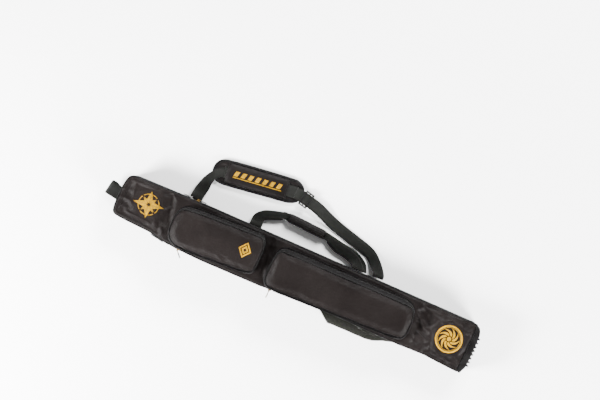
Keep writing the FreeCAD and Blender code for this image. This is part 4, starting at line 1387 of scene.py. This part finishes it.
def at(o, ang, t, n):
    c, s = math.cos(math.radians(ang)), math.sin(math.radians(ang))
    return (o[0] + t * c - n * s, o[1] + t * s + n * c)


def slider_piece(name, o, ang, z, n0, mat, body, rep):
    a_ = solidify_boxes(name + "_a", [(-6.6, 6.6, n0, 3.2, z - 5.6, z + 5.6)], o, ang, mat, None, 1.1, 3)
    b_ = solidify_boxes(name + "_b", [(-2.5, 2.5, 2.6, 8.4, z + 2.9, z + 4.5), (-2.5, 2.5, 2.6, 8.4, z - 4.5, z - 2.9),
                                      (-4.4, 4.4, 2.8, 3.9, z - 4.4, z + 4.4)], o, ang, mat, None, 0.5, 2)
    px, py = at(o, ang, 0, 6.4)
    c_ = tube(name + "_c", [(px, py, z - 3.3), (px, py, z), (px, py, z + 3.3)], 0.95, mat, None, sides=12, step=1.6)
    join_meshes(name + "_body", [a_, b_, c_], mat, body, rep=[rep], slot="hardware")
    return px, py


def pull_piece(name, p, ang, z, L, ht, hz, mat, tab, body, rep):
    r0, r1, h = 1.15, 2.75, 2.4
    prof = [(r0, -h + .3), (r0 + .3, -h), (r1 - .5, -h), (r1, -h + .5), (r1, h - .5), (r1 - .5, h), (r0 + .3, h), (r0, h - .3)]
    a_ = lathe(name + "_a", p, [(r, z + q) for r, q in prof], mat)
    b_ = solidify_boxes(name + "_b", [(1.9, 10.5, -1.1, 1.1, z - 2.3, z + 2.3)], p, ang, mat, None, 0.5, 2)
    join_meshes(name + "_eye", [a_, b_], mat, body, rep=[rep], slot="hardware")
    bx = [(8.4, L, -ht * 0.8, ht * 0.8, z - hz, z + hz)]
    c_ = solidify_boxes(name + "_c", bx, p, ang, tab, None, min(0.9, ht * 0.6), 3)
    rib = [(t, t + 1.3, -ht, ht, z - hz * 0.72, z + hz * 0.72) for t in np.arange(12.0, L - 3.0, 2.6)]
    d_ = solidify_boxes(name + "_d", rib, p, ang, tab, None, 0.35, 2)
    join_meshes(name + "_tab", [c_, d_], tab, body, slot="buckle_plastic")


ANG_A = math.degrees(math.atan2(7.5, 217.0))
ZM, ZP = 70.2, 121.2
pa = slider_piece("main_slider_a", (-414.0, edge_y(-414.0)), ANG_A, ZM, 1.0, M_STEEL, "slider_a", "main_slider_a")
pull_piece("main_pull_a", pa, 180 + ANG_A, ZM, 30, 1.4, 3.5, M_STEEL, M_PULLTAB, "pull_a", "main_pull_a")
pb = slider_piece("main_slider_b", (-392.0, edge_y(-392.0)), ANG_B, ZM, 1.0, M_BRASS, "slider_b", "main_slider_b")
pull_piece("main_pull_b", pb, ANG_B, ZM, 30, 1.4, 3.5, M_BRASS, M_PULLTAB, "pull_b", "main_pull_b")
q1_ = slider_piece("pocket_1_slider", (C1[0], C1[1] - R1), 180, ZP, 0.6, M_BRASS, "slider_1", "pocket_1_slider")
pull_piece("pocket_1_pull", q1_, -46, ZP, 27, 2.0, 3.5, M_BRASS, M_PULLTAB, "pull_1", "pocket_1_pull")
q2_ = slider_piece("pocket_2_slider", (C2[0], C2[1] - R2), 180, ZP, 0.6, M_BRASS, "slider_2", "pocket_2_slider")
pull_piece("pocket_2_pull", q2_, -90, ZP, 24, 2.0, 3.5, M_BRASS, M_BRASS, "pull_2", "pocket_2_pull")

# ------------------------------------------------------------------ grab handle
NB = np.array([-math.sin(math.radians(ANG_B)), math.cos(math.radians(ANG_B))])


def rooted(st, x, z, hw):
    """Adds the sewn root of a band in front of its stations."""
    y = edge_y(x)
    return [(x + NB[0] * 2.0, y + NB[1] * 2.0, z, hw, 0.28, 0)] + st


HF = [(-186.5, 85.9, 33, 21.2, .28, 0), (-187, 98, 21, 20.6, 0, 0), (-186.4, 109, 15, 18.6, -4, 0), (-174, 122, 13.5, 9.6, -12, 0),
      (-150, 133, 14, 5.4, -13.6, 0), (-118, 145, 15.6, 4.2, -12.6, 0), (-98, 151.4, 15.6, -.4, -12, 0), (40, 146, 15.6, -.4, -12, 0),
      (60, 139, 14.4, -2.5, -14.5, 0), (95, 128, 12.9, -5, -18, 0), (130, 122, 12.9, -6.5, -17, 0), (156, 114, 14, -13, -13.5, 0),
      (171, 105, 20, -18, -8, 0), (181, 96, 28, -20.5, -2.5, 0), (182, 90.7, 33, -21, -.27, 0)]
HR = [(-186.5, 85.9, 25, 21.2, .28, 0), (-187, 97, 13.5, 20.6, 0, 0), (-186, 111, 7, 18, -5, 0), (-172, 126, 5.5, 10, -12, 0),
      (-148, 137, 5.6, 4.5, -12.8, 0), (-118, 147, 8.4, 3.5, -12.0, 0), (-98, 151.4, 10.4, -.4, -11.4, 0), (40, 146, 10.4, -.4, -11.4, 0),
      (60, 142, 8.4, -2, -13.4, 0), (100, 135, 5.4, -3, -13.7, 0), (140, 130.5, 5.4, -4, -13, 0), (168, 121, 6.0, -9, -12, 0),
      (186, 110, 9, -14, -9, 0), (195, 97.3, 18, -17.5, -3, 0), (197, 90.9, 25, -19, -.25, 0)]
HF = rooted(HF, -186.5, 33, 21.2)
HF.append((182 + NB[0] * -4.2, 86.5, 33, -21, -.27, 0))
HR = rooted(HR, -186.5, 25, 21.2)
HR.append((197 + NB[0] * -4.2, 86.9, 25, -19, -.25, 0))
hf = web("handle_web_front_band", HF, M_WEB, None, th=2.4, step=4.0, cup=0.5, wav=0.5, rep=["handle_web_front"])
hr = web("handle_web_rear_band", HR, M_WEB, None, th=2.4, step=4.0, cup=0.4, wav=0.5, rep=["handle_web_rear"])
for o in (hf, hr):
    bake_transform(o)

GL0, GL1 = np.array([-98.0, 151.5]), np.array([40.0, 146.0])
GLEN = float(np.linalg.norm(GL1 - GL0))
GANG = math.degrees(math.atan2(*(GL1 - GL0)[::-1]))
g_t = (GL1 - GL0) / GLEN
g_n = np.array([-g_t[1], g_t[0]])


def grip_pt(t, n, z):
    q = GL0 + g_t * t + g_n * n
    return (q[0], q[1], z)


def sleeve(name, pt, T, sec, hole, mat, body, rep):
    """Closed sleeve: sec and hole are rings of (n, z) with the same count, swept through the T positions."""
    V_, m_ = [], len(sec)
    for k, t in enumerate(T):
        e = min(t - T[0], T[-1] - t)
        sc = 1 - 0.10 * math.exp(-e / 3.0)
        V_ += [pt(t, n * sc, zc_(z, sc)) for n, z in sec]
    for k, t in enumerate(T):
        V_ += [pt(t, n, z) for n, z in hole]
    n_ = len(T)
    F_ = grid_faces(n_, m_, wrap_m=True) + grid_faces(n_, m_, wrap_m=True, base=n_ * m_, flip=True)
    for k in (0, n_ - 1):
        for j in range(m_):
            a_, b_ = k * m_ + j, k * m_ + (j + 1) % m_
            F_.append((a_, b_, b_ + n_ * m_, a_ + n_ * m_))
    return fix_normals(make(name, V_, F_, mat, body, rep=rep))


def zc_(z, sc):
    return 13.0 + (z - 13.0) * sc


def ring_pts(n0, n1, z0, z1, p, count=32):
    """Rounded ring of (n, z), superelliptic."""
    o = []
    for i in range(count):
        t = 2 * math.pi * i / count
        c, s = math.cos(t), math.sin(t)
        o.append(((n0 + n1) / 2 + (n1 - n0) / 2 * abs(c) ** (2 / p) * (1 if c >= 0 else -1),
                  (z0 + z1) / 2 + (z1 - z0) / 2 * abs(s) ** (2 / p) * (1 if s >= 0 else -1)))
    return o


grip = sleeve("grip_sleeve_pad", grip_pt, list(np.linspace(0.5, GLEN - 0.5, 40)), ring_pts(-16, 16, 2, 23.6, 2.8),
              ring_pts(-12.8, 12.8, 8.4, 17.6, 3), M_PAD, "handle", ["grip_sleeve"])
puff(grip, voxel=3.1, pressure=3.0, cap=1.6, keep=lambda P: np.clip((np.abs((P[:, :2] - GL0) @ g_n) - 0) / 6 + (P[:, 2] < 8) + (P[:, 2] > 19), 0, 1))
# the sleeve's lapped closing edge
FG = []
for i in range(44):
    t = 6.2 + (GLEN - 12.4) * i / 43
    r = []
    for j in range(8):
        n = 2.3 - 12.6 * j / 7
        zz = 26.0 - 0.018 * (n + 2) ** 2 + 0.25 * nz(t, n, 0, 0.08, 3.0)
        r.append(grip_pt(t, n, zz))
    FG.append(r)
flap = shell_grid("grip_flap_cloth", FG, 1.2, M_PAD, "flap", rep=["grip_flap"], slot="grip_fabric")
surf_flap = surface(flap)
# the flap's root: cloth that runs from the sleeve into the flap
FH = [[grip_pt(6.6 + (GLEN - 13.2) * i / 43, n, z) for n, z in ((-10.5, 18.5), (-12.4, 19.8), (-13.4, 21.5), (-12.8, 23.2), (-11.6, 24.4), (-10.2, 25.2), (-8.6, 25.8))]
      for i in range(44)]
root_ = shell_grid("grip_flap_root", FH, 1.0, M_PAD, None, slot="grip_fabric")
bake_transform(root_)
stitches("grip_flap_stitching", [grip_pt(t, 0.6, 0)[:2] for t in np.linspace(9, GLEN - 9, 40)], surf_flap, M_STITCH, "flap")
for k, t in enumerate((1.2, GLEN - 1.2)):
    tube("grip_end_binding_%d" % (k + 1), [grip_pt(t, n * 0.86, 13 + (z - 13) * 0.86) for n, z in ring_pts(-15.6, 15.6, 2.6, 23.4, 2.8, 28)],
         1.1, M_PIPE, "handle", closed=True, step=3.0, ref=tuple(list(g_t) + [0.0]), slot="piping")

# ------------------------------------------------------------------ shoulder strap
ST = [(-403, 89.1, 35, 21.4, 0.28, 0), (-401.5, 108, 22, 21.5, 0, 0), (-398, 127, 14.8, 21, -1, 0), (-394, 150, 14.2, 17, -5, 0),
      (-385, 172, 14.2, 12, -9, 0), (-370, 190, 14.0, 9, -12, 0), (-352, 199.6, 13.3, 4.5, -16, 0), (-335, 203.1, 12.9, 2.89, -19.79, 0),
      (-128, 233.3, 13.25, 2.89, -19.79, 0), (-108, 234.8, 13.4, -0.5, -20, 0), (-90, 233.5, 12.9, -4.1, -19.6, 0),
      (-28, 220.5, 12.9, -4.1, -19.6, 0), (-5, 213, 11.5, -6.5, -19, 0), (18, 204, 8.5, -6.5, -19, 0), (60, 189.5, 3.4, -5.5, -19.3, 0),
      (120, 174, 2.6, -5, -19.4, 0), (180, 159.5, 2.6, -5.5, -19, 0), (207, 150, 4.4, -8.5, -17, 0), (228, 133, 11, -12.5, -14, 0),
      (243, 117, 21, -16.5, -9, 0), (254, 104.5, 30, -18.8, -2, 0), (256, 97.6, 35, -19, -0.25, 0), (256, 89.0, 35, -19, -0.25, 0)]
ST = rooted(ST, -403.0, 35, 21.2)
strap = web("shoulder_strap_band", ST, M_WEB, None, th=2.4, step=4.5, cup=0.0, wav=0.35, rep=["strap_web"])
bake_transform(strap)

# the pad: a stuffed body with a bound edge
pc = chaikin(PAD, 2, True)
pcc = [tuple(v) for v in pc]
px0, px1 = pc[:, 0].min() + 0.5, pc[:, 0].max() - 0.5
pad = fix_normals(panel("pad_cushion", pcc, px0, px1, 90, 40, lambda P, d: 7.6 + 2.6 * rounded(d, 8.0),
                        lambda P, d: 2.6 - 2.0 * rounded(d, 8.0), M_PAD, "pad", rep=["pad_body"], slot="pad_fabric"))
PADC, PANG = np.array([-240.0, 217.0]), math.radians(8.306)
p_t, p_n = np.array([math.cos(PANG), math.sin(PANG)]), np.array([-math.sin(PANG), math.cos(PANG)])


def pad_tn(P):
    r = P[:, :2] - PADC
    return r @ p_t, r @ p_n


def keep_pad(P):
    t, n = pad_tn(P)
    d = dist_outline(P[:, :2], pcc)
    under = ((np.abs(n) < 24) | ((t < -92) & (n < 24))) & (P[:, 2] > 6)      # leave room for the webbing
    return np.clip((d - 2) / 10, 0, 1) * np.where(under, 0.0, 1.0) * np.where(P[:, 2] < 5, 0.25, 1.0)


puff(pad, voxel=4.2, pressure=4.0, cap=2.6, keep=keep_pad)


def pad_wrinkle(V):
    t, n = pad_tn(V)
    d = dist_outline(V[:, :2], pcc)
    h = np.array([nz(x, y, 0, 0.03, 41.0) for x, y in V[:, :2]]) * 0.8
    for a_, b_, w, k in (((-368, 236), (-378, 176), 5, 0.9), ((-118, 262), (-108, 212), 5, 0.9), ((-110, 250), (-98, 222), 4, -0.7),
                         ((-385, 222), (-376, 190), 4, -0.7), ((-128, 270), (-122, 240), 4, -0.8)):
        h += fold(V[:, :2], a_, b_, w, k)
    return h * np.minimum(1, d / 8) * (V[:, 2] > 6) * (np.abs(n) > 25) * ~((t < -90) & (n < 25))


displace(pad, pad_wrinkle)
surf_pad = surface(pad)
pin_ = off(pc[:-1], -4.0)
# the binding folded over the pad's edge: a rounded band all round
bnd = []
po = resample(pcc, 4.0, True)
tgp = tangents(po, True)
nnp = np.column_stack([tgp[:, 1], -tgp[:, 0]])
for k in range(len(po)):
    r = []
    for (i_, z_) in ((9.0, 10.55), (8.4, 11.15), (4.4, 10.9), (1.6, 9.7), (0.0, 7.4), (-0.2, 5.0), (0.3, 2.6), (2.0, 1.0), (5.0, 0.3), (8.4, 0.25)):
        q = po[k] - nnp[k] * i_
        n_ = abs((po[k] - PADC) @ p_n)
        r.append((q[0], q[1], z_ + 0.12 * math.sin(k * 1.9) - (0.3 * min(1.0, max(0.0, (27 - n_) / 3)) if z_ > 10 else 0.0)))
    bnd.append(r)
shell_grid("pad_edge_binding", bnd, 0.9, M_PIPE, "pad", wrap=True, slot="piping")
stitches("pad_edge_stitching", [tuple(v) for v in po - nnp * 7.4], lambda x, y: 11.2, M_STITCH, "pad", closed=True)


def pad_pt(t, n, z):
    q = PADC + p_t * t + p_n * n
    return (q[0], q[1], z)


cover_ = sleeve("pad_sleeve_cushion", pad_pt, list(np.linspace(-110.5, 105.5, 56)),
                [(n, max(z, 10.4)) for n, z in ring_pts(-36.3, 36.3, 8.6, 17.6, 3.2, 44)], ring_pts(-23, 23, 10.8, 15.0, 6, 44), M_PAD, "pad",
                ["pad_sleeve"])


def keep_sl(P):
    t, n = pad_tn(P)
    return np.clip((P[:, 2] - 15.6) / 1.0, 0, 1) * np.clip((np.minimum(t + 111, 106 - t) - 2) / 7, 0, 1)


puff(cover_, voxel=3.4, pressure=4.0, cap=1.6, keep=keep_sl)
surf_sl = surface(cover_)
for k, t in enumerate((-107.5, 102.5)):
    stitches("pad_sleeve_seam_%d" % (k + 1), [pad_pt(t, n, 0)[:2] for n in np.linspace(-33, 33, 20)], surf_sl, M_STITCH, "pad")
stitches("pad_sleeve_seam_3", [pad_pt(98.0, n, 0)[:2] for n in np.linspace(-33, 33, 20)], surf_sl, M_STITCH, "pad")
for k, n in enumerate((-33.6, 33.6)):
    stitches("pad_sleeve_side_%d" % (k + 1), [pad_pt(t, n, 0)[:2] for t in np.linspace(-104, 99, 60)], surf_sl, M_STITCH, "pad")
bars = []
for i in range(7):
    t0 = -84 + 24.6 * i
    bars.append([pad_pt(t0 + a_, b_, 0)[:2] for a_, b_ in ((0, -4.6), (13.5, -4.6), (20.0, 12.6), (6.5, 12.6))])
line = [[pad_pt(t0, -10.6, 0)[:2], pad_pt(t0 + 55.4, -10.6, 0)[:2], pad_pt(t0 + 55.4, -7.6, 0)[:2], pad_pt(t0, -7.6, 0)[:2]]
        for t0 in (-84.5, -28.2, 28.1)]
relief("pad_mark_bars", bars, surf_sl, 0.75, M_GOLD, "pad", inset=0.5, rep=["pad_mark"], slot="gold_thread")
relief("pad_mark_line", line, surf_sl, 0.65, M_GOLD2, "pad", inset=0.5, slot="gold_thread")

# tri-glide
TG, TANG = (-90.0, 233.5), math.degrees(math.atan2(220.5 - 233.5, -28 + 90))
solidify_boxes("tri_glide_frame", [(7, 13.6, -26.8, 26.8, 14.6, 17.2), (32.4, 39, -26.8, 26.8, 14.6, 17.2), (7.2, 13.4, -26.6, 26.6, 8.6, 11.2),
                                   (32.6, 38.8, -26.6, 26.6, 8.6, 11.2), (7.1, 38.9, 21.9, 26.9, 8.7, 17.1), (7.1, 38.9, -26.9, -21.9, 8.7, 17.1),
                                   (20.6, 25.8, -22.6, 22.6, 8.8, 11.0)],
               TG, TANG, M_BUCKLE, "glide", 0.9, 3, rep=["tri_glide"], slot="buckle_plastic")

# ------------------------------------------------------------------ carry loop
LO, LANG = np.array([-648.0, -9.5]), math.radians(-9.0)
l_t, l_n = np.array([math.cos(LANG), math.sin(LANG)]), np.array([-math.sin(LANG), math.cos(LANG)])


def lp(t, z):
    q = LO + l_t * t + l_n * 5.5 * max(0.0, min(1.0, (44 - z) / 10.0)) * min(1.0, -t / 20.0)
    return (q[0], q[1], z, l_n[0] * 22.3, l_n[1] * 22.3, 0)


LW = [(-636.6, -11.5, 40.2, 0, 21.6, 0), (-642, -11.2, 38.4, 0, 21.8, 0), lp(0, 34.6), lp(-8, 33.0), lp(-20, 32.8), lp(-31, 33.4),
      lp(-35.4, 37.4), lp(-36.4, 41), lp(-35.4, 44.6), lp(-31, 48.8), lp(-20, 49.4), lp(-8, 49.2), lp(0, 47.6), (-642, -11.2, 43.8, 0, 21.8, 0),
      (-636.6, -11.5, 42.6, 0, 21.6, 0)]
lw = web("carry_loop_band", LW, M_WEB, None, th=2.2, step=2.6, wav=0.25, rep=["end_loop_web"])
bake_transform(lw)
lpz = [[(-635.8 - 1.9 * min(1.0, 0.25 + min(i, 14 - i) * 0.4, 0.25 + min(j, 12 - j) * 0.4), -36 + 50 * i / 14, 26 + 30 * j / 12)
        for j in range(13)] for i in range(15)]
shell_grid("carry_loop_patch", lpz, -2.0, M_WEB, "shell", rep=["end_loop_patch"], slot="webbing",
           uv=[[(26 + 30 * j / 12, -36 + 50 * i / 14) for j in range(13)] for i in range(15)])
